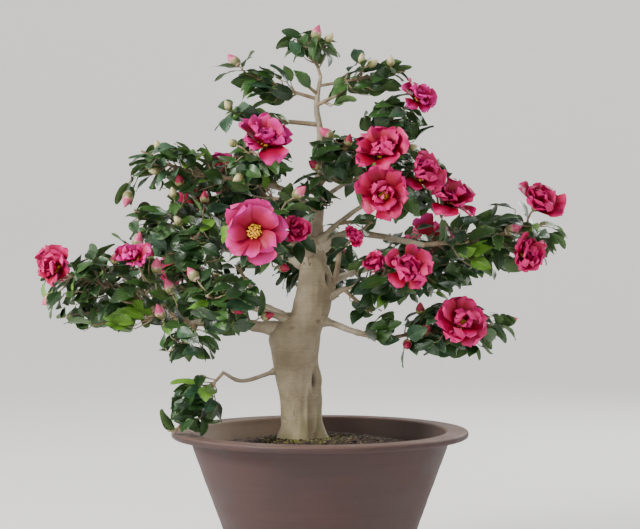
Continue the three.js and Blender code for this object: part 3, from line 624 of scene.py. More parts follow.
# Painted light and shade: the inner wall's paler colour is full on the left, where light falls, and fades to
# the right, where shade falls.
lit_to_the_left = remap(tree, part_of(tree, place, "X"), *CRUST_AND_LIGHT_LEFT, 0.12, 1.0)
crust_and_light = calculate(tree, "MULTIPLY", inside, lit_to_the_left)
crust_and_light = calculate(tree, "MULTIPLY", crust_and_light, remap(tree, cloudy, 0.0, 1.0, 0.65, 1.0))
body = mix(tree, crust_and_light, body, colour(150, 128, 108))
tooth_and_streak = calculate(tree, "MULTIPLY_ADD", streak, 0.5, tooth)
finish(
    tree, shader, Base_Color=body, Roughness=remap(tree, cloudy, 0.0, 1.0, 0.55, 0.72),
    Normal=bump(tree, tooth_and_streak, 0.35, 0.0006),
)
print("clay ready")

# %% [markdown]
# ## The pot
# A potter throws the pot on a wheel: a flat foot, a straight flaring wall, and a wide flat rim. So it
# is a profile turned about the upright axis, as on the wheel. The rim's edges are rounded by short
# arcs, and shallow throwing rings and a slight wobble keep it from looking machined.

# %% Turn the pot
POT_SIDES = 160
WALL, FLOOR, RIM_THICK, RIM_INNER = 9, 14, 8, 158


def straight(start, end, steps):
    """Points from start up to, but not at, end."""
    share = np.arange(steps)[:, None] / steps
    return np.asarray(start) + share * (np.asarray(end, float) - start)


def corner(middle, radius, first, last, steps=5):
    """Points on an arc about `middle`, from one angle to another, in degrees."""
    angle = np.radians(np.linspace(first, last, steps))
    return np.asarray(middle) + radius * np.stack([np.cos(angle), np.sin(angle)], -1)


def turn_profile(profile, sides, wobble=0.0, seed=0):
    """A ring of points for each (radius, height), moved out by `wobble` times soft noise."""
    angle = even_turns(sides)
    radius, height = profile[:, :1, None], profile[:, 1:, None]
    flat = np.stack([np.cos(angle), np.sin(angle)], -1)
    points = np.concatenate([radius * flat, np.broadcast_to(height, (len(profile), sides, 1))], -1)
    ripple = wobble * waves(points, 90, seed)[..., None]
    points[..., :2] += ripple * flat
    return points


under_rim = POT_HEIGHT - RIM_THICK
foot_inner = POT_FOOT - WALL + 3
pot_profile = np.concatenate([
    straight((20, 0), (POT_FOOT - 3, 0), 6),
    corner((POT_FOOT - 3, 3), 3, -90, -10),
    straight((POT_FOOT + 1, 5), (POT_NECK - 1, under_rim - 3), 60),
    corner((POT_NECK + 3, under_rim - 4), 4, 180, 90),
    straight((POT_NECK + 4, under_rim), (POT_RIM - 3, under_rim), 5),
    corner((POT_RIM - 3, under_rim + 3), 3, -90, 0),
    corner((POT_RIM - 3, POT_HEIGHT - 3), 3, 0, 90),
    straight((POT_RIM - 4, POT_HEIGHT), (RIM_INNER + 4, POT_HEIGHT), 8),
    corner((RIM_INNER + 3, POT_HEIGHT - 4), 4, 90, 170),
    straight((RIM_INNER - 1.5, POT_HEIGHT - 6), (foot_inner, FLOOR + 3), 50),
    straight((foot_inner - 3, FLOOR), (10, FLOOR), 8),
])
throwing = 0.07 * np.sin(pot_profile[:, 1] / 2.1) + 0.1 * np.sin(pot_profile[:, 1] / 5.3 + 1)
on_wall = (pot_profile[:, 1] > 8) & (pot_profile[:, 1] < under_rim - 6)
pot_profile[:, 0] += np.where(on_wall, throwing, 0)
pot_rings = turn_profile(pot_profile, POT_SIDES, wobble=0.25, seed=3)[None] * MM
pot_ends = np.array([[[0, 0, 0], [0, 0, FLOOR]]]) * MM
make_piece("clay_pot", [skin(pot_rings, pot_ends)], [clay], ["pot"])

# %% [markdown]
# ## Soil
# The pot is filled with dark, gritty soil of fired clay grains and bark crumbs, mounded a little at
# the trunk, with a skin of moss there. A bumpy mound alone looks like a cake, so loose grains lie on it.

# %% The soil's finishes
soil, tree, shader, place = start_material("dark soil")
lumps = effect(tree, blotches, Vector=place, Size=0.006, Edge=0.15)
dust = effect(tree, grain, Vector=place, Size=0.0015)
ground = mix(tree, lumps, colour(34, 25, 20), colour(66, 49, 38))
ground = mix(tree, remap(tree, dust, 0.6, 0.72), ground, colour(112, 90, 70))
finish(tree, shader, Base_Color=ground, Roughness=0.95, Normal=bump(tree, dust, 0.9, 0.002))


def grain_material(name, dark, light):
    """A finish for loose grains: two tones, one grain lighter than the next, and a dusty tooth."""
    material, tree, shader, place = start_material(name)
    own = spot_of(tree)["Z"]
    dust = effect(tree, grain, Vector=place, Size=0.0012)
    tone = mix(tree, own, dark, light)
    tone = mix(tree, remap(tree, dust, 0.5, 0.75, 0.0, 0.6), tone, dark)
    finish(tree, shader, Base_Color=tone, Roughness=0.9, Normal=bump(tree, dust, 0.6, 0.0008))
    return material


dark_grit = grain_material("dark grit", colour(38, 28, 23), colour(78, 58, 45))
pale_grit = grain_material("pale grit", colour(120, 98, 72), colour(170, 150, 120))
moss = grain_material("moss", colour(66, 70, 26), colour(132, 130, 56))
print("soil finishes ready")

# %% Fill the pot
SOIL_EDGE = 176
SOIL_SIDES = 128
SOIL_LEVEL_TO = 40
# Air between soil and wall, and soil and floor, and how far the rough top's middle lies under the crown.
WALL_GAP, FLOOR_GAP, ROUGH_ROOM = 1.5, 0.6, 1.6
soil_radius = POT_FOOT + (POT_NECK - POT_FOOT) * SOIL_EDGE / under_rim - WALL - WALL_GAP


def soil_height(x, y):
    """Height of the soil: a level crown round the trunk that falls as a cosine to the edge."""
    out = np.clip((np.hypot(x, y) - SOIL_LEVEL_TO) / (soil_radius - SOIL_LEVEL_TO), 0, 1)
    return SOIL_EDGE + (SOIL_CROWN - SOIL_EDGE) * (0.5 + 0.5 * np.cos(math.pi * out))


wall_profile = np.concatenate([
    straight((20, FLOOR + FLOOR_GAP), (foot_inner - 1, FLOOR + FLOOR_GAP), 3),
    straight((foot_inner - 1, FLOOR + 4), (soil_radius, SOIL_EDGE), 12),
])
top_out = np.linspace(soil_radius, 4, 46)
top_profile = np.stack([top_out, 0 * top_out], -1)
soil_rings = turn_profile(np.concatenate([wall_profile, top_profile]), SOIL_SIDES)
top = soil_rings[len(wall_profile):]
top[..., 2] = soil_height(top[..., 0], top[..., 1]) - ROUGH_ROOM
roughened = 1.1 * waves(top, 14, 5) + 0.9 * waves(top, 6, 6)
top[1:, :, 2] += np.where(np.hypot(top[1:, :, 0], top[1:, :, 1]) > 30, roughened[1:], 0)
soil_ends = np.array([[[0, 0, FLOOR + FLOOR_GAP], [0, 0, SOIL_CROWN - ROUGH_ROOM]]])
make_piece("soil_fill", [skin(soil_rings[None] * MM, soil_ends * MM)], [soil], ["soil"])

# %% Grains and moss
GRAINS = {"dark": 2600, "pale": 240, "moss": 620}
LUMP_SIDES = 5
draw = np.random.default_rng(11)


def lumps_at(x, y, size, squash, own, kind):
    """Rough little lumps on the soil: two rings of five points, pushed in and out at random."""
    count = len(x)
    angle = even_turns(LUMP_SIDES) + draw.uniform(0, 6.3, (count, 1, 1))
    angle = angle + np.array([0, 0.6])[None, :, None]
    reach = size[:, None, None] * draw.uniform(0.7, 1.15, (count, 2, LUMP_SIDES))
    uneven = draw.uniform(-0.2, 0.2, (count, 2, LUMP_SIDES))
    rise = (np.array([-0.35, 0.4])[None, :, None] + uneven) * size[:, None, None]
    middle = np.stack([x, y, soil_height(x, y) - 1.2 + size * squash * 0.3], -1)
    ring = np.stack([reach * np.cos(angle), reach * np.sin(angle), rise * squash], -1)
    poles = np.zeros((count, 2, 3))
    poles[:, 0, 2] = -size * squash
    poles[:, 1, 2] = size * squash
    return skin((middle[:, None, None] + ring) * MM, (middle[:, None] + poles) * MM, own=own, kind=kind)


def scatter(count, nearest, furthest, power=0.5):
    """Places round the pot's axis, between two distances. A power under a half favours the middle."""
    angle = draw.uniform(0, 2 * math.pi, count)
    out = nearest + (furthest - nearest) * draw.uniform(0, 1, count) ** power
    return out * np.cos(angle), out * np.sin(angle)


def off_trunk(x, y):
    """Which places are clear of the trunk's foot."""
    return np.hypot(x - TRUNK_MIDDLES[0], y) > TRUNK_RADII[0] - 1


def grain_skin(kind, count, spread, sizes, squash, middle=(0, 0)):
    """Loose grains of one kind, thinned under the trunk."""
    x, y = scatter(count, *spread)
    x, y = x + middle[0], y + middle[1]
    keep = off_trunk(x, y) & (np.hypot(x, y) < soil_radius - 4)
    x, y = x[keep], y[keep]
    size = draw.uniform(*sizes, len(x))
    return lumps_at(x, y, size, squash, draw.uniform(0, 1, len(x)), kind)


grains = [
    grain_skin(0, GRAINS["dark"], (6, soil_radius - 4), (1.4, 3.6), 0.8),
    grain_skin(1, GRAINS["pale"], (20, soil_radius - 8, 0.6), (1.0, 2.4), 0.8),
    grain_skin(2, GRAINS["moss"], (26, 62, 0.9), (0.8, 2.0), 1.1, (-16, -6)),
]
make_piece("soil_grains", grains, [dark_grit, pale_grit, moss])

# %% [markdown]
# ## Bark
# Camellia bark is smooth and pale, grey to beige, with thin level creases all the way round, faint
# flutes that run up it, and a greener, dirtier foot. The flutes and bumps are true shape. The creases
# are thinner than a face, so they are a bump that follows each limb's own length.

# %% The bark's finish
# The heights, in metres, between which the green cast at the foot grows from nothing to full.
DAMP_FOOT = (0.262, 0.19)


def bark_material(name, pale, mid, dark, ring_gap, painted_hollow_shade=colour(58, 44, 34)):
    """A smooth bark: blotches of three tones, level creases, painted shade in hollows, and a green cast near
    the ground. How much shade is painted at a point in a hollow is the first number of its `spot`."""
    material, tree, shader, place = start_material(name)
    spot = spot_of(tree)
    upward = stretched(tree, place, (1.0, 1.0, 0.25))
    flutes = effect(tree, blotches, Vector=upward, Size=0.014, Edge=0.2)
    patch = effect(tree, blotches, Vector=place, Size=0.03, Edge=0.2)
    tooth = effect(tree, grain, Vector=place, Size=0.0016)
    crease = effect(tree, rings, Vector=place, Along=spot["Y"], Gap=ring_gap)
    tone = mix(tree, patch, pale, mid)
    tone = mix(tree, calculate(tree, "MULTIPLY", flutes, 0.5), tone, mid)
    tone = mix(tree, calculate(tree, "MULTIPLY", remap(tree, crease, 0.3, 1.0), 0.16), tone, dark)
    tone = mix(tree, remap(tree, tooth, 0.6, 0.74, 0.0, 0.3), tone, dark)
    # Painted shade: bark in a hollow is darkened towards the hollow's shade colour.
    tone = mix(tree, remap(tree, spot["X"], 0.25, 0.95, 0.0, 0.85), tone, painted_hollow_shade)
    damp = calculate(tree, "MULTIPLY", remap(tree, part_of(tree, place, "Z"), *DAMP_FOOT), 0.5)
    tone = mix(tree, calculate(tree, "MULTIPLY", damp, flutes), tone, colour(138, 134, 86))
    relief = calculate(tree, "MULTIPLY_ADD", crease, -0.8, tooth)
    finish(
        tree, shader, Base_Color=tone, Roughness=remap(tree, patch, 0.0, 1.0, 0.62, 0.8),
        Normal=bump(tree, relief, 0.35, 0.0005),
    )
    return material


trunk_bark = bark_material(
    "trunk bark", colour(168, 154, 128), colour(134, 120, 96), colour(84, 70, 54), ring_gap=0.0022
)
limb_bark = bark_material(
    "limb bark", colour(186, 174, 152), colour(150, 136, 114), colour(98, 84, 68), ring_gap=0.0024
)
print("bark ready")

# %% [markdown]
# ## The trunk
# The trunk leans left as it rises, swells where old boughs were cut away, and turns back to its pruned
# top. It is a stack of level rings whose middle and radius follow smooth curves through the driving
# heights, so that each swelling flows into the next.

# %% Carve the trunk
TRUNK_RINGS, TRUNK_SIDES = 260, 176
ROOTS_FADE_BY = 26
# Scars and hollows on the trunk's front: x, height, half width, half height, depth, and how much shade is
# painted into it.
SCARS = [
    (-21, 407, 2.2, 2.8, 1.8, 0.9), (-12, 407, 2.0, 2.6, 1.6, 0.9), (-1, 336, 3.4, 3.8, 2.0, 0.7),
    (-44, 214, 3.0, 3.0, 1.0, 0.3), (-6, 262, 4.4, 15, 6.0, 1.0), (0, 300, 4.0, 26, 2.0, 0.3),
    (-10, 228, 4.6, 30, 2.0, 0.3), (-32, 222, 0.8, 8, 0.8, 0.8), (-38, 240, 0.7, 6, 0.6, 0.6),
    (9, 390, 3.0, 8, 4.0, 1.0), (-14, 412, 1.2, 5, 1.2, 0.8), (-34, 330, 5.0, 3.0, 1.2, 0.2),
]


def smooth_table(heights, values, at):
    """Values at new heights, on a smooth curve through a table of them.

    Between two rows the curve is a cubic that has, at each row, the mean slope of its neighbours.
    """
    heights, values = np.asarray(heights, float), np.asarray(values, float)
    slope = np.gradient(values, heights)
    low = np.clip(np.searchsorted(heights, at) - 1, 0, len(heights) - 2)
    gap = heights[low + 1] - heights[low]
    s = (at - heights[low]) / gap
    start, end = values[low], values[low + 1]
    lift = (2 * s**3 - 3 * s**2 + 1) * start + (3 * s**2 - 2 * s**3) * end
    return lift + gap * ((s**3 - 2 * s**2 + s) * slope[low] + (s**3 - s**2) * slope[low + 1])


def trunk_radius(height, angle):
    """Radius of the trunk: its table, three flutes, and five root lobes that fade away up it."""
    foot = np.clip(1 - (height - TRUNK_HEIGHTS[0]) / ROOTS_FADE_BY, 0, 1) ** 1.5
    fluted = 1 + 0.05 * np.cos(3 * angle + 0.6) + 0.1 * foot * np.cos(5 * angle + 1.2)
    return smooth_table(TRUNK_HEIGHTS, TRUNK_RADII, height) * fluted


level = np.linspace(TRUNK_HEIGHTS[0], TRUNK_HEIGHTS[-1], TRUNK_RINGS)[:, None]
angle = even_turns(TRUNK_SIDES)
middle = smooth_table(TRUNK_HEIGHTS, TRUNK_MIDDLES, level)
reach = trunk_radius(level, angle)
shape = np.stack([
    middle + reach * np.cos(angle),
    reach * np.sin(angle),
    np.broadcast_to(level, reach.shape),
], -1)
relief = 0.5 * waves(shape, 34, 21) + 0.28 * waves(shape * (1, 1, 0.25), 9, 22)
relief += 0.03 * np.sin(level * 2.9 + 1.4 * waves(shape, 22, 23))
painted_hollow_shade = np.zeros_like(relief)
for scar_x, scar_z, half_width, half_height, depth, shade_strength in SCARS:
    away = np.hypot((shape[..., 0] - scar_x) / half_width, (shape[..., 2] - scar_z) / half_height)
    dip = np.where(shape[..., 1] < 0, np.exp(-(away**2) * 1.6), 0)
    lip = np.where(shape[..., 1] < 0, 0.35 * np.exp(-((away - 1.3) ** 2) * 8), 0)
    relief += depth * (lip - dip)
    # Painted shade: each scar darkens the bark in its dip, where shade would fall.
    painted_hollow_shade = np.maximum(painted_hollow_shade, shade_strength * dip)
shape[..., 0] += relief * np.cos(angle)
shape[..., 1] += relief * np.sin(angle)
trunk_ends = np.array([[
    [TRUNK_MIDDLES[0], 0, TRUNK_HEIGHTS[0]],
    [TRUNK_MIDDLES[-1], 0, TRUNK_HEIGHTS[-1] + 1.5],
]])
trunk_along = (level[:, 0] - TRUNK_HEIGHTS[0]) * MM
trunk_skin = skin(shape[None] * MM, trunk_ends * MM, along=trunk_along)
trunk_skin["spot"][0, :, 0] = np.append(painted_hollow_shade.ravel(), [0, 0])
make_piece("trunk_bark", [trunk_skin], [trunk_bark], ["trunk"])

# %% [markdown]
# ## The limbs
# A bough doesn't stick out of a trunk like a peg. The wood swells round its foot in a collar, and each
# place where a twig once grew leaves a slight knuckle. Each limb is one tube along its path, with
# that collar where it comes out of the wood and knuckles at uneven steps.

# %% Grow the limbs
LIMB_RINGS, LIMB_SIDES = 90, 20
# How much a collar swells a limb, over and under a foot radius of THICK_FOOT.
THICK_FOOT = 6
COLLAR = {"thick": 0.35, "thin": 0.7}


def wood_distance(points):
    """How far points lie outside the trunk, in mm. Under 0 they are in it."""
    height = np.clip(points[..., 2], TRUNK_HEIGHTS[0], TRUNK_HEIGHTS[-1])
    out = np.hypot(points[..., 0] - smooth_table(TRUNK_HEIGHTS, TRUNK_MIDDLES, height), points[..., 1])
    above = np.maximum(points[..., 2] - TRUNK_HEIGHTS[-1], 0)
    return np.hypot(np.maximum(out - smooth_table(TRUNK_HEIGHTS, TRUNK_RADII, height), 0), above)


def limb_path(name, places):
    """Points of a limb's path, in mm."""
    return smooth_path(LIMBS[name][1], places)


def limb_radius(name, places):
    """A limb's radius, in mm: an even taper."""
    thick, thin = LIMBS[name][0]
    return thick + (thin - thick) * np.asarray(places)


leader_path = limb_path("leader", np.linspace(0, 1, 120))
leader_radius = limb_radius("leader", np.linspace(0, 1, 120))


def foot_distance(name, spine):
    """How far each point of a limb lies outside the wood that bears it, in mm."""
    outside = wood_distance(spine)
    if name == "leader":
        return outside
    gap = np.linalg.norm(spine[:, None] - leader_path, axis=-1) - leader_radius
    return np.minimum(outside, np.maximum(gap.min(1), 0))


for number, name in enumerate(LIMBS):
    places = np.linspace(0, 1, LIMB_RINGS)
    spine = limb_path(name, places)
    wander = np.stack([waves(spine, 45, seed) for seed in (31, 32, 33)], -1)
    spine = spine + 0.7 * wander * np.sin(math.pi * places)[:, None]
    base = limb_radius(name, places)
    swelling = COLLAR["thick" if base[0] > THICK_FOOT else "thin"]
    collar = 1 + swelling * np.exp(-((foot_distance(name, spine) / (1.5 * base[0])) ** 2))
    knuckles = 1 + 0.16 * np.clip(waves(spine, 17, 40 + number), 0.2, 1) ** 2
    radius = (base * collar * knuckles)[:, None] * np.ones(LIMB_SIDES)
    rings_of_limb = around_path(spine[None], radius[None], LIMB_SIDES)
    swell = 0.05 * waves(rings_of_limb, 12, 50 + number)[..., None]
    rings_of_limb += swell * (rings_of_limb - spine[None, :, None])
    ends = np.stack([spine[:1], spine[-1:] + unit(spine[-1:] - spine[-2:-1])], 1)
    steps = np.linalg.norm(np.diff(spine, axis=0), axis=-1)
    along = np.concatenate([[0], np.cumsum(steps)]) * MM
    item = skin(rings_of_limb * MM, ends * MM, across=np.zeros(LIMB_SIDES), along=along)
    make_piece(f"{name}_bark", [item], [limb_bark], [name])

# %% [markdown]
# ## The rule that the crown grows by
# Every mass keeps to its own room: inside its ellipsoid, on its own side of the walls that it shares
# with its neighbours, off the pot, out of the trunk's view, and clear of limbs and blossoms. Within
# that, twigs leave its stem one golden angle after another, and stop short of the room's edge. The
# solids were grown by this same rule with a few large leaves. Here it goes on to finer shoots.

# %% Stems and stalks
# The outer bounds, the gaps that leaves keep, and the part of the front where the trunk shows bare.
OUTER = {"low": (-360, -195, 0), "high": (314, 215, 714)}
ROOM = {"cell": 0.7, "limb": 4, "pot_top": POT_HEIGHT + 3, "pot_side": POT_RIM + 5, "step": 4}
TRUNK_VIEW = {"left": -62, "right": 30, "top": 404, "back": 10}
# A stem's radius at its tip, and its share of the limb's radius where it leaves the limb's side.
STEM_TIP, SIDE_STEM = 1.7, 0.8
# What leaves keep clear of their own mass's blossoms, as a share of the radius, and of its buds.
BLOOM_ROOM, BUD_ROOM = 0.8, 8
FORK_BEFORE = 0.12
# Length and width of each kind of bud.
BUD_SIZES = {"cream": (15, 10), "pink": (22, 13), "red": (17, 11)}
# Turns a bud's place into its own lean.
BUD_SWAY = (0.7, 0.9, 1.3)
# How far a blossom's stalk ends before its heart, as a share of the radius.
CALYX_FOOT = 0.126


def bloom_middle(bloom):
    """The middle of the room that a blossom takes, before its heart."""
    _, heart, faces, radius, _ = bloom
    return np.asarray(heart, float) + 0.4 * radius * unit(np.asarray(faces, float))


def fork_place(path, place):
    """How far along a stem to leave it for a place: a little before the stem's nearest point."""
    along = np.arange(0.2, 0.97, 0.02)
    away = np.linalg.norm(smooth_path(path, along) - place, axis=-1)
    return max(0.1, along[np.argmin(away)] - FORK_BEFORE)


def bud_way(path, place, length):
    """A bud's own stalk from its mass's stem, as three points, and the axis on which the bud stands."""
    place = np.asarray(place, float)
    fork = smooth_path(path, np.array([fork_place(path, place)]))[0]
    away = place - fork
    sway = np.sin(place * BUD_SWAY)
    axis = unit(unit(away * (1, 0.45, 1)) + (0, 0, 0.3) + 0.45 * sway)
    foot = place - axis * length / 2
    return (fork, foot - axis * 0.3 * np.linalg.norm(away), foot), axis


def bloom_way(path, bloom):
    """A blossom's own stalk from its mass's stem, as three points that end in its calyx."""
    heart, axis = np.asarray(bloom[1], float), unit(np.asarray(bloom[2], float))
    fork = smooth_path(path, np.array([fork_place(path, heart)]))[0]
    foot = heart - CALYX_FOOT * bloom[3] * axis
    return fork, foot - axis * 0.35 * np.linalg.norm(heart - fork), foot


def lay_out(number, mass):
    """A mass's stem, as a path and radii, with its weight against its neighbours."""
    name, limb, at, centre, radii, end = mass
    place = np.array([at - 0.004, at])
    back, root = limb_path(limb, place)
    root_radius = limb_radius(limb, at) * (1 if at == 1 else SIDE_STEM)
    if at == 1:
        root = root - unit(root - back)
    return {
        "name": name,
        "limb": limb,
        "at": at,
        "centre": np.array(centre, float),
        "radii": np.array(radii, float),
        "path": [root, centre, end],
        "thick": (float(root_radius), STEM_TIP),
        "weight": float(np.cbrt(np.prod(radii))),
        "blooms": [b for b in BLOOMS if b[0] == name],
        "buds": [(np.array(place, float), kind) for owner, place, kind in BUDS if owner == name],
        "seed": 7919 * (number + 1),
    }


masses = [lay_out(number, mass) for number, mass in enumerate(MASSES + SPRAYS)]
CENTRES = np.array([m["centre"] for m in masses])
WEIGHTS = np.array([m["weight"] for m in masses])
print("stems:", len(masses))

# %% What takes up room


def beads(path, thick, owner):
    """Rows of (x, y, z, radius, owner) close enough along a path to stand for it."""
    length = np.linalg.norm(np.diff(smooth_path(path, np.linspace(0, 1, 30)), axis=0), axis=-1).sum()
    places = np.linspace(0, 1, math.ceil(length / ROOM["step"]) + 1)
    radius = thick[0] + (thick[1] - thick[0]) * places
    return np.column_stack([smooth_path(path, places), radius, np.full(len(places), owner)])


trunk_levels = np.arange(TRUNK_HEIGHTS[0], TRUNK_HEIGHTS[-1], ROOM["step"])
obstacles = [np.column_stack([
    smooth_table(TRUNK_HEIGHTS, TRUNK_MIDDLES, trunk_levels),
    0 * trunk_levels,
    trunk_levels,
    smooth_table(TRUNK_HEIGHTS, TRUNK_RADII, trunk_levels),
    np.full(len(trunk_levels), -1),
])]
obstacles += [beads(path, thick, -1) for thick, path in LIMBS.values()]
obstacles += [beads(m["path"], m["thick"], number) for number, m in enumerate(masses)]
obstacles += [
    np.array([[*bloom_middle(b), b[3], number]]) for number, m in enumerate(masses) for b in m["blooms"]
]
obstacles = np.concatenate(obstacles)
print("beads that stand for wood and blossoms:", len(obstacles))

# %% Free places


def in_the_open(points):
    """Which points lie off the pot and out of the trunk's view."""
    x, y, z = points.T
    open_air = (z >= ROOM["pot_top"]) | (np.hypot(x, y) >= ROOM["pot_side"])
    before = (x > TRUNK_VIEW["left"]) & (x < TRUNK_VIEW["right"]) & (y < TRUNK_VIEW["back"])
    return open_air & ~(before & (z < TRUNK_VIEW["top"]))


def in_room(number, points):
    """Which points lie in a mass's ellipsoid and cell, and in the open."""
    mass = masses[number]
    inside = (((points - mass["centre"]) / mass["radii"]) ** 2).sum(-1) <= 1
    inside &= in_the_open(points)
    power = ((points[:, None] - CENTRES) ** 2).sum(-1) - WEIGHTS**2
    apart = 2 * np.linalg.norm(CENTRES - mass["centre"], axis=-1)
    apart[number] = np.inf
    depth = (power - power[:, number : number + 1]) / apart
    depth[:, number] = np.inf
    return inside & (depth.min(1) > ROOM["cell"])


def is_free(number, points, on_stalk=False):
    """Which points are clear of limbs, other stems and all blossoms, and in the mass's room.

    Leaves on the stalk of a bud or a blossom stand where it stands, so for them the outer bounds of
    the plant take the room's place.
    """
    free = in_room(number, points)
    if on_stalk:
        within = ((points > OUTER["low"]) & (points < OUTER["high"])).all(-1)
        free = in_the_open(points) & within
    others = obstacles[obstacles[:, 4] != number]
    away = np.linalg.norm(points[:, None] - others[:, :3], axis=-1) - others[:, 3]
    free &= away.min(1) > ROOM["limb"]
    for bloom in masses[number]["blooms"]:
        free &= np.linalg.norm(points - bloom_middle(bloom), axis=-1) > BLOOM_ROOM * bloom[3]
    for bud, _ in masses[number]["buds"]:
        free &= np.linalg.norm(points - bud, axis=-1) > BUD_ROOM
    return free


def reach_of(number, start, ahead, furthest=120):
    """How far a ray runs, in whole steps, before it would leave the mass's room."""
    steps = np.arange(ROOM["step"], furthest, ROOM["step"])
    free = is_free(number, start + steps[:, None] * ahead)
    return ROOM["step"] * (len(steps) if free.all() else int(np.argmin(free)))


print("free above the first mass's centre:", reach_of(0, masses[0]["centre"], np.array([0, 0, 1.0])), "mm")

# %% [markdown]
# ## Twigs, shoots and leaves
# A camellia bears its leaves in turn to either side of the last year's shoots, close together towards
# the tips, and turns their glossy faces to the sky. Placing them wholly at random would look like
# confetti, so each leaf belongs to a shoot, each shoot to a twig, and only their angles vary.

# %% The growing rule
GOLDEN_ANGLE = math.pi * (3 - math.sqrt(5))
ALONG_STEP = 0.7549
# A mass wants this many leaves, and more for each mm of its radii: fewer from TOP_FROM up.
LEAVES_FROM = 6
LEAVES_PER_MM = {"crown": 0.62, "top": 0.34}
TOP_FROM = 570
# The lengths from which a twig grows at all, bears all its leaves, and bears shoots.
TWIG_LENGTHS = {"grows": 10, "full": 26, "forks": 30}
BEARING = 0.5
SHOOT = {"places": (0.42, 0.62, 0.8), "spread": (0.5, 0.95), "length": (16, 34), "thick": 0.75}
LEAF = {"length": (26, 37), "width": 0.54, "apart": 3.4, "petiole": 4, "sky": 0.8, "tilt": 1.3}
TRIES = 640
STALK_LEAVES = [(0.62, 0.97), (0.3, 0.62)]
SPARSE = {"right_far": 0.72, "right_mid": 0.8, "left_high_outer": 0.5, "left_mid": 0.7}


def seeded(seed):
    """Repeatable random numbers from 0 to 1, by the source's 32-bit rule."""
    state = seed
    while True:
        state = (state * 1664525 + 1013904223) % 2**32
        yield state / 2**32


def between(low, high, random):
    """A random number between two."""
    return low + (high - low) * next(random)


def turned_away(ahead, turn, spread):
    """The direction that leaves `ahead` by `spread`, at the angle `turn` round it."""
    side = unit(np.cross(ahead, level_for(ahead)))
    up = np.cross(side, ahead)
    return math.cos(spread) * ahead + math.sin(spread) * (math.cos(turn) * side + math.sin(turn) * up)


def blade_points(at, ahead, face, length, width):
    """Twelve points over a leaf, which stand for it when its room is tested."""
    side = unit(np.cross(face, ahead))
    along = np.repeat([0.25, 0.5, 0.75, 1.0], 3)[:, None]
    across = np.tile([-1.0, 0, 1], 4)[:, None]
    half = (width / 2) * (1 - np.abs(2 * along - 1))
    return at + along * length * ahead + across * half * side


print("first number drawn for the first mass:", round(next(seeded(masses[0]["seed"])), 3))

# %% What one mass has grown


class Growth:
    """What one mass has grown so far: rows of twigs, petioles and leaves, and the room they take."""

    def __init__(self, number):
        self.number = number
        self.random = seeded(masses[number]["seed"])
        self.taken = np.zeros((0, 3))
        self.twigs = []
        self.petioles = []
        self.leaves = []

    def is_taken(self, points):
        """Whether any point comes too near to what has grown."""
        if not len(self.taken):
            return False
        gap = np.linalg.norm(points[:, None] - self.taken, axis=-1)
        return bool(gap.min() < LEAF["apart"])

    def clear(self, points):
        """Whether points are free of everything."""
        return not self.is_taken(points) and bool(is_free(self.number, points).all())

    def add_twig(self, start, end, thick, thin, share=1):
        """A twig along the way from start to end that stops at a share of it."""
        self.twigs.append((*start, *end, thick, thin, share))

    def add_leaves(self, start, end, count, tone, on_stalk=False):
        """Leaves to either side of a shoot in turn, towards its tip.

        Returns how many grew, and the share of the shoot at which the last one stands.
        """
        random = self.random
        ahead = unit(end - start)
        outward = unit(end - masses[self.number]["centre"]) + (0, 0, LEAF["sky"])
        side = unit(np.cross(outward, ahead))
        grown = []
        furthest = 0
        for i in range(count):
            is_last = i == count - 1
            spread = 0.2 if is_last else between(0.75, 1.15, random)
            hand = 1 if i % 2 else -1
            place = 1 if is_last else 0.3 + 0.62 * i / max(count - 1, 1)
            base = bowed(start[None], end[None], [place])[0, 0]
            leaf_ahead = math.cos(spread) * ahead + hand * math.sin(spread) * side
            leaf_ahead = unit(leaf_ahead + 0.45 * (next(random) - 0.5) * outward - (0, 0, 0.12))
            tilt = np.array([next(random) - 0.5, next(random) - 0.5, next(random) - 0.5])
            face = unit(outward + LEAF["tilt"] * tilt)
            face = unit(face - (face @ leaf_ahead) * leaf_ahead)
            length = between(*LEAF["length"], random)
            width = length * LEAF["width"] * between(0.9, 1.15, random)
            foot = base + leaf_ahead * LEAF["petiole"]
            points = blade_points(foot, leaf_ahead, face, length, width)
            if self.is_taken(points) or not is_free(self.number, points, on_stalk).all():
                continue
            grown.append(points)
            furthest = place
            self.petioles.append((*base, *(foot + leaf_ahead * 1.5), 0.65, 0.5, 1))
            self.leaves.append((*foot, *leaf_ahead, *face, length, width, tone, next(random)))
        if grown:
            self.taken = np.vstack([self.taken, *grown])
        return len(grown), furthest


print("a mass starts with", len(Growth(0).leaves), "leaves")

# %% Grow the masses


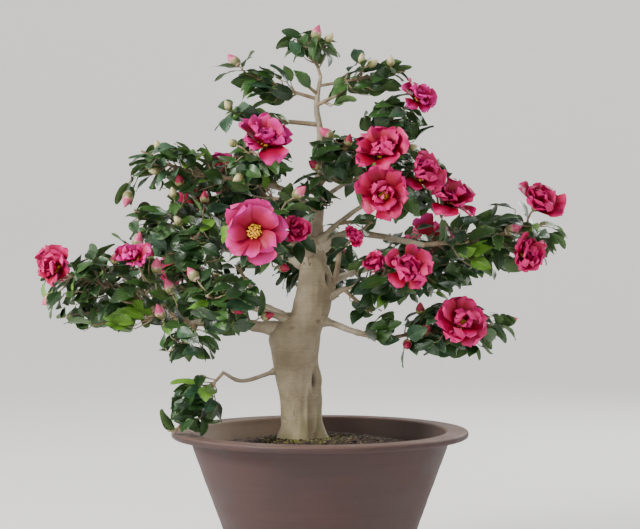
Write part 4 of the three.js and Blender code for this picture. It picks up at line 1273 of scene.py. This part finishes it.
def grow(number):
    """One mass: twigs by the golden angle along its stem, with shoots and leaves on each."""
    mass = masses[number]
    growth = Growth(number)
    random = growth.random
    stem = smooth_path(mass["path"], np.linspace(0, 1, 101))
    bough = limb_path(mass["limb"], np.linspace(mass["at"] * BEARING, mass["at"], 101))
    density = LEAVES_PER_MM["top" if mass["centre"][2] > TOP_FROM else "crown"]
    wanted = LEAVES_FROM + density * SPARSE.get(mass["name"], 1) * mass["radii"].sum()
    growth.add_leaves(stem[58], stem[88], 5, 0.5)
    for i in range(TRIES):
        if len(growth.leaves) >= wanted:
            break
        t = 0.12 + 0.86 * ((i * ALONG_STEP) % 1)
        bearer = bough if i % 5 == 4 and mass["limb"] != "leader" else stem
        start = bearer[int(t * 100)]
        tangent = unit(bearer[min(int(t * 100) + 1, 100)] - bearer[int(t * 100) - 1])
        ahead = turned_away(tangent, i * GOLDEN_ANGLE, between(0.55, 1.25, random))
        length = reach_of(number, start, ahead) * between(0.5, 0.95, random)
        if length < TWIG_LENGTHS["grows"]:
            continue
        end = start + ahead * length
        is_young = min(np.linalg.norm(np.subtract(young, end)) for young in YOUNG_SHOOTS) < YOUNG_WITHIN
        tone = 0.97 if is_young else 0.96 * next(random)
        body = start + np.linspace(0.45, 1, 5)[:, None] * (end - start)
        if growth.is_taken(body):
            continue
        count, furthest = growth.add_leaves(start, end, 5 if length > TWIG_LENGTHS["full"] else 3, tone)
        for j, place in enumerate(SHOOT["places"]):
            if length < TWIG_LENGTHS["forks"] or next(random) < 0.2:
                continue
            base = bowed(start[None], end[None], [place])[0, 0]
            turn = (j % 2) * math.pi + between(-0.6, 0.6, random)
            way = turned_away(ahead, turn, between(*SHOOT["spread"], random))
            shoot_length = between(*SHOOT["length"], random)
            tip = base + way * shoot_length
            if not growth.clear(base + np.linspace(0.5, 1, 4)[:, None] * (tip - base)):
                continue
            borne, shoot_share = growth.add_leaves(base, tip, 4, tone)
            if borne:
                growth.add_twig(base, tip, SHOOT["thick"], 0.5, shoot_share)
                count += borne
                furthest = max(furthest, place)
        if count:
            radius = mass["thick"][0] + (STEM_TIP - mass["thick"][0]) * t
            growth.add_twig(start, end, 0.5 * radius, 0.7, furthest)
            growth.taken = np.vstack([growth.taken, body])
    ways = [bud_way(mass["path"], place, BUD_SIZES[kind][0])[0] for place, kind in mass["buds"]]
    ways += [bloom_way(mass["path"], bloom) for bloom in mass["blooms"]]
    for way in ways:
        for low, high in STALK_LEAVES:
            start, end = smooth_path(way, np.array([low, high]))
            growth.add_leaves(start, end, 3, 0.9 * next(random), on_stalk=True)
    return growth


growths = [grow(number) for number in range(len(masses))]
for number, growth in enumerate(growths):
    print(f"{masses[number]['name']}: {len(growth.leaves)} leaves, {len(growth.twigs)} twigs")
leaf_rows = np.array([row for g in growths for row in g.leaves])
twig_rows = np.array([row for g in growths for row in g.twigs])
petiole_rows = np.array([row for g in growths for row in g.petioles])
print("crown:", len(leaf_rows), "leaves on", len(twig_rows), "twigs")

# %% [markdown]
# ## Stems, twigs and leaf stalks
# The crown's wood runs from pencil-thick stems to shoots under 2 mm. The stems are brown and creased
# like the boughs, the shoots of the last year are smoother and redder, and a leaf's own stalk is
# green. Here stems and shoots share one finish of two browns, without creases. Curves with a bevel
# could draw them, but as tubes they are joined in three pieces.

# %% Stems and twigs


def shoot_material(name, old, new, roughness):
    """The skin of a young shoot: two tones that run into each other, with fine grain."""
    material, tree, shader, place = start_material(name)
    patch = effect(tree, blotches, Vector=place, Size=0.012, Edge=0.25)
    dust = effect(tree, grain, Vector=place, Size=0.001)
    tone = mix(tree, patch, old, new)
    finish(tree, shader, Base_Color=tone, Roughness=roughness, Normal=bump(tree, dust, 0.4, 0.0004))
    return material


twig_bark = shoot_material("twig bark", colour(122, 102, 80), colour(164, 146, 118), 0.7)
petiole_green = shoot_material("leaf stalk", colour(86, 108, 52), colour(120, 132, 70), 0.5)


def straight_tubes(rows, rings_each, sides):
    """Tubes for rows of (start, end, first radius, last radius, share), bowed a little by their
    weight, each as far as its share of the way."""
    places = np.linspace(0, 1, rings_each)
    spine = bowed(rows[:, :3], rows[:, 3:6], rows[:, 8:9] * places)
    radii = rows[:, 6:7] + (rows[:, 7:8] - rows[:, 6:7]) * places
    return tube_skin(spine * MM, radii * MM, sides, own=np.arange(len(rows)) % 17 / 17)


def path_tubes(paths, rings_each, sides, until=1.0):
    """Tubes for (points, first radius, last radius), each on its own smooth curve, `until` a share."""
    places = np.linspace(0, until, rings_each)
    spine = np.stack([smooth_path(points, places) for points, _, _ in paths])
    radii = np.stack([thick + (thin - thick) * places for _, thick, thin in paths])
    return tube_skin(spine * MM, radii * MM, sides)


foliage_nodes = [f"foliage_{name}" for name, *_ in MASSES]
stem_paths = [(m["path"], m["thick"][0], m["thick"][1] * 0.6) for m in masses] + [SIDE_SHOOT]
twig_skins = [path_tubes(stem_paths, 34, 10, until=0.88), straight_tubes(twig_rows, 6, 6)]
make_piece("stems_and_twigs", twig_skins, [twig_bark], foliage_nodes)
make_piece("leaf_stalks", [straight_tubes(petiole_rows, 2, 4)], [petiole_green], foliage_nodes)

# %% [markdown]
# ## Leaf finishes
# A camellia leaf is glossy and deep green above, with a paler rib, and matt and yellower below. New
# leaves are a bright yellow green. The tone is dealt out by spray, as on the plant, where a whole
# shoot is of one age. Each side, and the rib, has its own faces and so its own plain finish.

# %% The leaves' finishes


def leaf_material(name, base, light, roughness):
    """A leaf's finish: two close tones that cloud into each other, and one leaf lighter than the next."""
    material, tree, shader, place = start_material(name)
    spot = spot_of(tree)
    cloudy = effect(tree, blotches, Vector=place, Size=0.012, Edge=0.25)
    share = calculate(tree, "MULTIPLY_ADD", spot["Z"], 0.6, calculate(tree, "MULTIPLY", cloudy, 0.4))
    across = calculate(tree, "ABSOLUTE", spot["X"])
    slant = calculate(tree, "MULTIPLY_ADD", across, -0.22, spot["Y"])
    veins = calculate(tree, "SINE", calculate(tree, "MULTIPLY", slant, 52.0))
    tone = mix(tree, share, base, light)
    tone = mix(tree, remap(tree, veins, 0.6, 1.0, 0.0, 0.2), tone, light)
    finish(
        tree, shader, Base_Color=tone, Roughness=remap(tree, cloudy, 0.0, 1.0, roughness, roughness + 0.12),
        Normal=bump(tree, veins, 0.25, 0.0003),
    )
    return material


# The tones' two colours for the blade, and the rib's lighter one.
LEAF_TONES = {
    "deep": (colour(20, 43, 20), colour(38, 67, 31), colour(54, 83, 39)),
    "green": (colour(36, 68, 28), colour(60, 94, 42), colour(76, 108, 51)),
    # The blue tone is partly the leaves' own bluer green and partly painted sheen, the pale cast that light
    # gives glossy leaves.
    "blue_sheen": (colour(32, 60, 40), colour(66, 97, 69), colour(76, 105, 71)),
    "young": (colour(74, 120, 34), colour(112, 156, 58), colour(136, 170, 78)),
}
# Each shoot has one number from 0 to 1, and its tone is the one in whose range it falls.
TONE_RANGES = {"deep": (0, 0.38), "green": (0.38, 0.7), "blue_sheen": (0.7, 0.91), "young": (0.91, 1)}
leaf_tops = {n: leaf_material(f"leaf {n}", low, high, 0.3) for n, (low, high, _) in LEAF_TONES.items()}
leaf_ribs = {n: leaf_material(f"leaf rib {n}", high, rib, 0.42) for n, (_, high, rib) in LEAF_TONES.items()}
leaf_under = leaf_material("leaf underside", colour(62, 92, 48), colour(92, 120, 68), 0.5)
print("leaf finishes:", len(leaf_tops) + len(leaf_ribs) + 1)

# %% [markdown]
# ## The leaves
# A leaf is a blade about 0.5 mm thick: pointed at both ends, widest just before its middle, folded up
# along its rib and arched down towards its tip. As a tube it has a thin, lens-like ring, and nine
# points round it are enough: six for the top, two of them close to the rib, and three below.

# %% Shape the leaves
ACROSS = np.array([1, 0.52, 0.04, -0.04, -0.52, -1, -0.52, 0, 0.52])
OVER = np.array([0, 1, 0.7, 0.7, 1, 0, -1, -0.8, -1])
ALONG = np.array([0.05, 0.18, 0.34, 0.52, 0.7, 0.86, 0.96])
BLADE_THICK = 0.25
LEAF_KINDS = np.tile([0, 0, 1, 0, 0, 2, 2, 2, 2], (len(ALONG) + 1, 1))


def blade_frames(rows):
    """Where each blade starts, its three directions, and its length and width, from its row."""
    at, ahead, face = rows[:, 0:3], rows[:, 3:6], rows[:, 6:9]
    return at, ahead, np.cross(face, ahead), face, rows[:, 9], rows[:, 10]


def laid_along(directions, parts):
    """Points whose three coordinates (n, r, k) are measured along three directions (n, 3)."""
    return sum(part[..., None] * way[:, None, None] for way, part in zip(directions, parts))


def leaf_outline(along):
    """Half the width of a leaf at a share of its length, as a share of the widest."""
    return np.sin(math.pi * along**0.86) ** 0.8 * (1 - 0.25 * along**3)


def leaf_skin(rows, seed):
    """All the leaves of one tone.

    The middle line is an arc: at share v it has turned down by b v, so it lies at sin(b v) / b ahead
    and (1 - cos(b v)) / b below. The blade rises from it by its fold times the distance from the rib,
    with a wave near the edge, and its top and underside part by a lens.
    """
    at, ahead, side, up, length, width = blade_frames(rows)
    vary = np.random.default_rng(seed)
    count = len(rows)
    bend = vary.uniform(0.2, 0.9, count)[:, None]
    fold = vary.uniform(0.05, 0.32, count)[:, None, None]
    phase = vary.uniform(0, 6.3, count)[:, None, None]
    twist = vary.uniform(-0.5, 0.5, count)[:, None, None]
    v = ALONG[None]
    forward = length[:, None] * np.sin(bend * v) / bend
    down = -length[:, None] * (1 - np.cos(bend * v)) / bend
    half = width[:, None, None] / 2 * leaf_outline(ALONG)[None, :, None]
    y = half * ACROSS
    edge = np.abs(ACROSS) ** 2
    wave = 0.07 * width[:, None, None] * edge * np.sin(7 * v[..., None] + phase + 1.5 * np.sign(ACROSS))
    rise = fold * np.abs(y) ** 1.1 + wave + BLADE_THICK * OVER * np.sqrt(leaf_outline(ALONG))[None, :, None]
    rise += twist * v[..., None] * y
    sine, cosine = np.sin(bend * v)[..., None], np.cos(bend * v)[..., None]
    local_x = forward[..., None] + rise * sine
    local_z = down[..., None] + rise * cosine
    rings = at[:, None, None] + laid_along((ahead, side, up), (local_x, y, local_z))
    tip_x = length * np.sin(bend[:, 0]) / bend[:, 0]
    tip_z = -length * (1 - np.cos(bend[:, 0])) / bend[:, 0]
    tip = at + tip_x[:, None] * ahead + tip_z[:, None] * up
    ends = np.stack([at, tip], 1)
    return skin(rings * MM, ends * MM, across=ACROSS, along=ALONG, own=rows[:, 12], kind=LEAF_KINDS)


tone = leaf_rows[:, 11]
for seed, (name, (low, high)) in enumerate(TONE_RANGES.items()):
    item = leaf_skin(leaf_rows[(tone >= low) & (tone < high)], 60 + seed)
    finishes = [leaf_tops[name], leaf_ribs[name], leaf_under]
    make_piece(f"leaves_{name}", [item], finishes, foliage_nodes)

# %% [markdown]
# ## Blossom finishes
# The petals are crimson where they meet, hot pink over most of their length, and paler at the ruffled
# edge, with fine veins that run to it. Those are places on the petal itself, so the finish reads the
# petal's own coordinates. A plain pink would hide the ruffles. The stamens are golden, and the
# scales of buds and calyx are a downy cream green.

# %% The blossoms' finishes


def petal_material(name, base, middle, edge):
    """A petal's finish: base to middle to edge, with veins, and one petal lighter than the next."""
    material, tree, shader, place = start_material(name)
    spot = spot_of(tree)
    across = calculate(tree, "ABSOLUTE", spot["X"])
    veined = add_node(
        tree, "ShaderNodeCombineXYZ",
        X=calculate(tree, "MULTIPLY", spot["X"], 9.0),
        Y=calculate(tree, "MULTIPLY", spot["Y"], 1.6),
        Z=calculate(tree, "MULTIPLY", spot["Z"], 40.0),
    ).outputs[0]
    veins = add_node(tree, "ShaderNodeTexNoise", Vector=veined, Scale=1.6, Detail=3.0).outputs["Fac"]
    cloudy = effect(tree, blotches, Vector=place, Size=0.02, Edge=0.25)
    out = calculate(tree, "MULTIPLY_ADD", veins, 0.24, calculate(tree, "SUBTRACT", spot["Y"], 0.12))
    tone = mix(tree, remap(tree, out, 0.2, 0.72), base, middle)
    rim = calculate(tree, "MAXIMUM", calculate(tree, "MULTIPLY", across, spot["Y"]), out)
    rim = remap(tree, rim, 0.62, 1.02, 0.0, 0.85)
    tone = mix(tree, calculate(tree, "MULTIPLY", rim, remap(tree, cloudy, 0.0, 1.0, 0.45, 1.0)), tone, edge)
    tone = mix(tree, remap(tree, veins, 0.5, 0.75, 0.0, 0.35), tone, base)
    finish(
        tree, shader, Base_Color=tone, Roughness=remap(tree, cloudy, 0.0, 1.0, 0.42, 0.55),
        Specular_IOR_Level=0.3, Normal=bump(tree, veins, 0.35, 0.0008),
    )
    return material


petal_pink = petal_material("petal pink", colour(112, 0, 10), colour(166, 0, 61), colour(242, 48, 176))
petal_red = petal_material("petal red", colour(96, 0, 8), colour(154, 0, 42), colour(236, 34, 138))


def plain_material(name, low, high, roughness, span=(0, 1)):
    """A soft two-toned finish for small parts: low to high between two places along them."""
    material, tree, shader, place = start_material(name)
    cloudy = effect(tree, blotches, Vector=place, Size=0.004, Edge=0.3)
    along = remap(tree, spot_of(tree)["Y"], *span, 0.0, 0.7)
    tone = mix(tree, calculate(tree, "MULTIPLY_ADD", cloudy, 0.3, along), low, high)
    finish(tree, shader, Base_Color=tone, Roughness=roughness)
    return material


scale_green = plain_material("bud scale", colour(96, 100, 52), colour(196, 186, 136), 0.6)
filament = plain_material("filament", colour(214, 120, 40), colour(246, 206, 96), 0.5)
anther = plain_material("anther", colour(226, 150, 20), colour(255, 206, 60), 0.6)
bud_cream = plain_material("bud cream", colour(150, 150, 92), colour(214, 200, 156), 0.5)
bud_pink = plain_material("bud pink", colour(224, 196, 176), colour(204, 0, 110), 0.5, (0.36, 0.6))
bud_red = plain_material("bud red", colour(104, 12, 34), colour(146, 0, 54), 0.5, (0.2, 0.45))
print("blossom finishes ready")

# %% [markdown]
# ## Blossoms
# A blossom is semi-double: an outer whorl of broad petals, notched at the tip, then shorter, more
# upright and more ruffled ones, round a brush of golden stamens. Copies of one modelled flower would
# all look alike from the side, so each petal is worked out for its own whorl, blossom and openness.

# %% Whorls of petals
PETAL_ACROSS = np.array([1, 0.76, 0.4, 0, -0.4, -0.76, -1, -0.76, -0.4, 0, 0.4, 0.76])
PETAL_OVER = np.array([0, 1, 1, 1, 1, 1, 0, -1, -1, -1, -1, -1])
PETAL_ALONG = np.array([0.06, 0.28, 0.5, 0.69, 0.84, 0.94, 0.99])
PETAL_THICK = 0.22
# Petals in a whorl, their length as a share of the blossom's radius, and their lean and curl from
# the blossom's axis in degrees, closed and wide open.
WHORLS = [
    (5, 1.2, (14, 36), (20, 76)),
    (5, 1.1, (10, 28), (12, 58)),
    (5, 0.92, (4, 18), (8, 40)),
    (4, 0.74, (0, 8), (6, 34)),
]
# The masses whose blossoms are simpler, with their number of whorls. Under 3 a blossom is a calm one.
SINGLES = {"front": 2, "left_low": 3, "right_top": 3}
# How far petals stray in a calm and in a full blossom: degrees, degrees and a share.
WILDNESS = {"lean": (4, 15), "curl": (10, 34), "length": (0.06, 0.2)}


def bloom_frame(bloom):
    """A blossom's heart, the two directions across it, and its axis."""
    axis = unit(np.asarray(bloom[2], float))
    return (np.asarray(bloom[1], float), *across_axis(axis), axis)


def petal_rows(bloom, number):
    """Rows for a blossom's petals: foot, outward, axis, length, width, lean, curl, ruffle, own."""
    vary = np.random.default_rng(500 + number)
    heart, first, second, axis = bloom_frame(bloom)
    radius, is_open = bloom[3], bloom[4]
    whorls = WHORLS[: SINGLES.get(bloom[0], len(WHORLS))]
    is_full = len(whorls) > 2
    wild = {key: pair[is_full] for key, pair in WILDNESS.items()}
    rows = []
    for rank, (count, share, leans, curls) in enumerate(whorls):
        for i in range(count):
            turn = (i + 0.5 * rank + vary.uniform(-0.18, 0.18)) * 2 * math.pi / count
            out = math.cos(turn) * first + math.sin(turn) * second
            lean = math.radians(leans[0] + (leans[1] - leans[0]) * is_open)
            lean += math.radians(vary.uniform(-wild["lean"], wild["lean"]))
            curl = math.radians(curls[0] + (curls[1] - curls[0]) * is_open)
            curl = max(0.08, curl + math.radians(vary.uniform(-wild["curl"], wild["curl"])))
            length = radius * share * (1 + vary.uniform(-wild["length"], wild["length"]))
            width = length * vary.uniform(0.72, 0.98)
            foot = heart + 0.05 * radius * out + 0.02 * rank * radius * axis
            ruffle = (0.055 + 0.03 * min(rank, 2)) * vary.uniform(0.7, 1.4) * (1.6 if is_full else 1)
            rows.append((*foot, *out, *axis, length, width, lean, curl, ruffle, vary.uniform()))
    return rows


print("petals on each blossom:", [len(petal_rows(bloom, number)) for number, bloom in enumerate(BLOOMS)])

# %% Shape the petals


def petal_skin(rows, seed):
    """All the petals of one finish.

    The middle line starts at `lean` from the axis and curls on by `curl`: at share v it has turned to
    a = lean + curl v, so it lies at L (cos lean - cos a) / curl outward and L (sin a - sin lean) / curl
    up. Across it the petal is a shallow trough, rolled so that each edge passes over or under the
    next petal's, with two waves that grow towards its edge.
    """
    foot, out, axis = rows[:, 0:3], rows[:, 3:6], rows[:, 6:9]
    side = np.cross(axis, out)
    length, width, lean, curl, ruffle = (rows[:, i, None, None] for i in range(9, 14))
    vary = np.random.default_rng(seed)
    spans = ((0, 6.3), (0, 6.3), (0.1, 0.3), (0.25, 0.6))
    phase, other, roll, trough = (vary.uniform(*span, (len(rows), 1, 1)) for span in spans)
    u = PETAL_ACROSS[None, None]
    v = PETAL_ALONG[None, :, None] + 0 * u
    notch = 0.08 * np.exp(-((u / 0.3) ** 2)) * v**7
    shoulder = 0.16 * u**4 * v**5
    place = v - notch - shoulder + 0.04 * v**6 * np.sin(7 * u + other)
    half = width / 2 * (0.16 + 0.84 * v**0.85) * np.sqrt(np.clip(1.03 - v**12, 0, 1)) * 1.06
    half = half * (1 + 0.07 * np.sin(11 * v + phase + np.sign(u)))
    y = half * u
    angle = lean + curl * place
    outward = length * (np.cos(lean) - np.cos(angle)) / curl
    upward = length * (np.sin(angle) - np.sin(lean)) / curl
    rise = trough * y**2 / width + roll * y + PETAL_THICK * PETAL_OVER
    edge = 0.35 + 0.65 * np.abs(u)
    ripple = np.sin(4.5 * u + phase) + 0.5 * np.sin(6.5 * u + 3 * v + other)
    rise = rise + ruffle * length * v**2 * edge * ripple
    outward, upward = outward - rise * np.cos(angle), upward + rise * np.sin(angle)
    points = laid_along((out, side, axis), (outward, y, upward))
    tip = foot + 1.01 * (points[:, -1, 3] + points[:, -1, 9]) / 2
    ends = np.stack([foot, tip], 1)
    rings = foot[:, None, None] + points
    return skin(rings * MM, ends * MM, across=PETAL_ACROSS, along=PETAL_ALONG, own=rows[:, 14])


RED_BLOOMS = {"right_blossom", "right_mid", "right_low", "right_far", "heart_left", "heart_top"}
FAR_LEFT = -300


def is_red(bloom):
    """Whether a blossom is one of the redder ones: those on the right, and the furthest left."""
    return bloom[0] in RED_BLOOMS or bloom[1][0] < FAR_LEFT


# The pink blossoms have 0 for `red`, and the red ones 1.
for red, (name, material) in enumerate([("petals_pink", petal_pink), ("petals_red", petal_red)]):
    rows = np.array([r for n, b in enumerate(BLOOMS) if is_red(b) == red for r in petal_rows(b, n)])
    make_piece(name, [petal_skin(rows, 81 + red)], [material], foliage_nodes)

# %% Stamens
STAMENS = 84


def stamen_rows(bloom, number):
    """Starts and ends of a blossom's stamens: a brush that leans out towards its rim."""
    vary = np.random.default_rng(700 + number)
    heart, first, second, axis = bloom_frame(bloom)
    radius = bloom[3]
    turn = np.arange(STAMENS) * GOLDEN_ANGLE
    out = ((np.arange(STAMENS) + 0.5) / STAMENS)[:, None] ** 0.62
    way = spokes(turn, first, second)
    start = heart + 0.07 * radius * out * way + 0.03 * radius * axis
    reach = radius * vary.uniform(0.34, 0.46, (STAMENS, 1))
    end = heart + reach * unit(axis + 0.7 * out * way) + 0.02 * radius * vary.normal(size=(STAMENS, 3))
    return np.concatenate([start, end], 1)


open_blooms = [(n, b) for n, b in enumerate(BLOOMS) if b[4] >= 0.5]
stamens = np.concatenate([stamen_rows(b, n) for n, b in open_blooms])
ahead = unit(stamens[:, 3:] - stamens[:, :3])
filaments = np.stack([stamens[:, :3], stamens[:, 3:]], 1)
anther_spine = stamens[:, None, 3:] + np.array([-0.6, 0.2, 1.0])[None, :, None] * ahead[:, None]
anther_radii = np.broadcast_to([0.4, 1.1, 0.6], (len(stamens), 3)) * MM
stamen_skins = [
    tube_skin(filaments * MM, np.full((len(stamens), 2), 0.22 * MM), 3, kind=0),
    tube_skin(anther_spine * MM, anther_radii, 5, kind=1),
]
make_piece("stamens", stamen_skins, [filament, anther], foliage_nodes)

# %% [markdown]
# ## Buds and calyxes
# A bud is an egg of rolled petals held in overlapping scales. It sits at the tip of its own short
# shoot, as blossoms do. The egg is a ring profile with a slight spiral from its rolled petals, and the
# scales are one cup with a scalloped lip, closed inside the bud, where nothing of it shows.

# %% Buds, calyxes and what bears them
BUD_ALONG = np.array([0.04, 0.16, 0.34, 0.54, 0.74, 0.9])
CUP_ALONG = np.array([0.0, 0.12, 0.28, 0.42, 0.4])
BUD_SWELL = np.ones(len(BUD_ALONG))
CUP_SWELL = np.array([0.7, 1.06, 1.08, 1.05, 0.8])
# Length and width of a calyx, as shares of its blossom's radius.
CALYX_SIZE = (0.63, 0.357)
EGG_SIDES = 10


def egg_skin(at, axis, sizes, along, swell, tip, scallop=0.0, kind=0):
    """Eggs: at share v of the length the radius is half the width times sin(pi v^0.75)^0.65, with a
    spiral of three folds, and the last rings' places waved by `scallop` in five lobes."""
    length, width = sizes.T
    turn = even_turns(EGG_SIDES)
    place = along[:, None] + scallop * np.cos(5 * turn) * (along[:, None] > 0.3)
    reach = np.sin(math.pi * np.clip(along + 0.04, 0, 1) ** 0.75)[:, None] ** 0.65 * swell[:, None]
    reach = reach * (1 + 0.05 * np.cos(3 * turn + 5 * along[:, None]))
    ring = spokes(turn, *across_axis(axis))
    half = width[:, None, None, None] / 2
    points = at[:, None, None] + place[None, ..., None] * length[:, None, None, None] * axis[:, None, None]
    points = points + half * reach[None, ..., None] * ring[:, None]
    ends = np.stack([at - 0.03 * length[:, None] * axis, at + tip * length[:, None] * axis], 1)
    return skin(points * MM, ends * MM, along=along, kind=kind)


paths = {m["name"]: m["path"] for m in masses}
bud_ways = [bud_way(paths[owner], place, BUD_SIZES[kind][0]) for owner, place, kind in BUDS]
bloom_ways = [bloom_way(paths[bloom[0]], bloom) for bloom in BLOOMS]
bud_places = np.array([way[-1] for way, _ in bud_ways])
bud_axes = unit(np.array([axis for _, axis in bud_ways]))
bud_sizes = np.array([BUD_SIZES[kind] for _, _, kind in BUDS])
bud_kinds = np.array([list(BUD_SIZES).index(kind) for _, _, kind in BUDS])
calyx_places = np.array([way[-1] for way in bloom_ways])
calyx_axes = np.array([bloom_frame(bloom)[3] for bloom in BLOOMS])
calyx_sizes = np.array([[share * bloom[3] for share in CALYX_SIZE] for bloom in BLOOMS])
stalks = [(way, 1.1, 0.8) for way, _ in bud_ways] + [(way, 1.5, 1.2) for way in bloom_ways]

bud_skins = []
for kind in range(len(BUD_SIZES)):
    mine = bud_kinds == kind
    egg = egg_skin(bud_places[mine], bud_axes[mine], bud_sizes[mine], BUD_ALONG, BUD_SWELL, 1.02, kind=kind)
    bud_skins.append(egg)
for places, axes, sizes, tip in (
    (bud_places, bud_axes, bud_sizes, 0.3), (calyx_places, calyx_axes, calyx_sizes, 0.2)
):
    bud_skins.append(egg_skin(places, axes, sizes, CUP_ALONG, CUP_SWELL, tip, scallop=0.07, kind=3))
make_piece("buds", bud_skins, [bud_cream, bud_pink, bud_red, scale_green], foliage_nodes)
make_piece("flower_stalks", [path_tubes(stalks, 12, 6)], [twig_bark], foliage_nodes)

# %% [markdown]
# ## Stage, light and camera
# The plant stands on a plain pale floor that sweeps up into a wall all round, so no view has a hard
# horizon. A large soft lamp to the left of the camera is the main light, a weaker one fills from the
# right, and a third from behind draws a thin bright edge round leaves and limbs.

# %% Set the stage
SWEEP_SIDES = 96
paper, tree, shader, place = start_material("pale paper")
finish(
    tree, shader, Base_Color=(0.8, 0.79, 0.77, 1), Roughness=0.9, Emission_Color=(1, 0.99, 0.97, 1),
    Emission_Strength=0.4,
)
sweep_profile = np.concatenate([
    straight((300, 0), (3200, 0), 12),
    corner((3200, 2800), 2800, -90, 0, 24),
    straight((6000, 2900), (6000, 6000), 6),
])
sweep_points = turn_profile(sweep_profile, SWEEP_SIDES).reshape(-1, 3) * MM
sweep_faces = ring_quads(len(sweep_profile), SWEEP_SIDES).reshape(-1, 4)[:, ::-1]
sweep_mesh = bpy.data.meshes.new("sweep")
sweep_mesh.from_pydata(sweep_points.tolist(), [], [list(range(SWEEP_SIDES)), *sweep_faces.tolist()])
sweep_mesh.polygons.foreach_set("use_smooth", np.ones(len(sweep_mesh.polygons), bool))
sweep_mesh.materials.append(paper)
sweep = add_object("sweep", sweep_mesh)
print("stage:", len(sweep_mesh.polygons), "faces")

# %% Light it
LOOK_AT = (0, 0, 0.42)


def soft_lamp(name, place, size, power, tint=(1, 1, 1)):
    """A square lamp that looks at the plant and doesn't show itself."""
    light = bpy.data.lights.new(name, "AREA")
    light.size = size
    light.energy = power
    light.color = tint
    lamp = add_object(name, light)
    lamp.location = place
    toward = np.asarray(LOOK_AT) - place
    flat_way = math.hypot(toward[0], toward[1])
    lamp.rotation_euler = (math.atan2(flat_way, -toward[2]), 0, math.atan2(-toward[0], toward[1]))
    lamp.visible_camera = False


soft_lamp("key", (-2.1, -1.2, 1.6), 0.8, 98, (1, 0.98, 0.95))
soft_lamp("fill", (2.2, -1.8, 1.0), 1.8, 4, (0.95, 0.97, 1))
soft_lamp("rim", (1.3, 1.7, 1.7), 1.0, 34)
world = bpy.data.worlds.new("studio")
world.use_nodes = True
world.node_tree.nodes["Background"].inputs["Color"].default_value = (0.9, 0.93, 1, 1)
world.node_tree.nodes["Background"].inputs["Strength"].default_value = 0.24
bpy.context.scene.world = world
print("lamps:", len(bpy.data.lights))

# %% The camera
CAMERA_AWAY, CAMERA_HEIGHT = 1.88, 0.406
LENS = 84.6
lens = bpy.data.cameras.new("camera")
lens.lens = LENS
lens.sensor_width = 36
camera = add_object("camera", lens)
camera.location = (0, -CAMERA_AWAY, CAMERA_HEIGHT)
camera.rotation_euler = (math.pi / 2, 0, 0)
bpy.context.scene.camera = camera
print("camera at", tuple(camera.location))
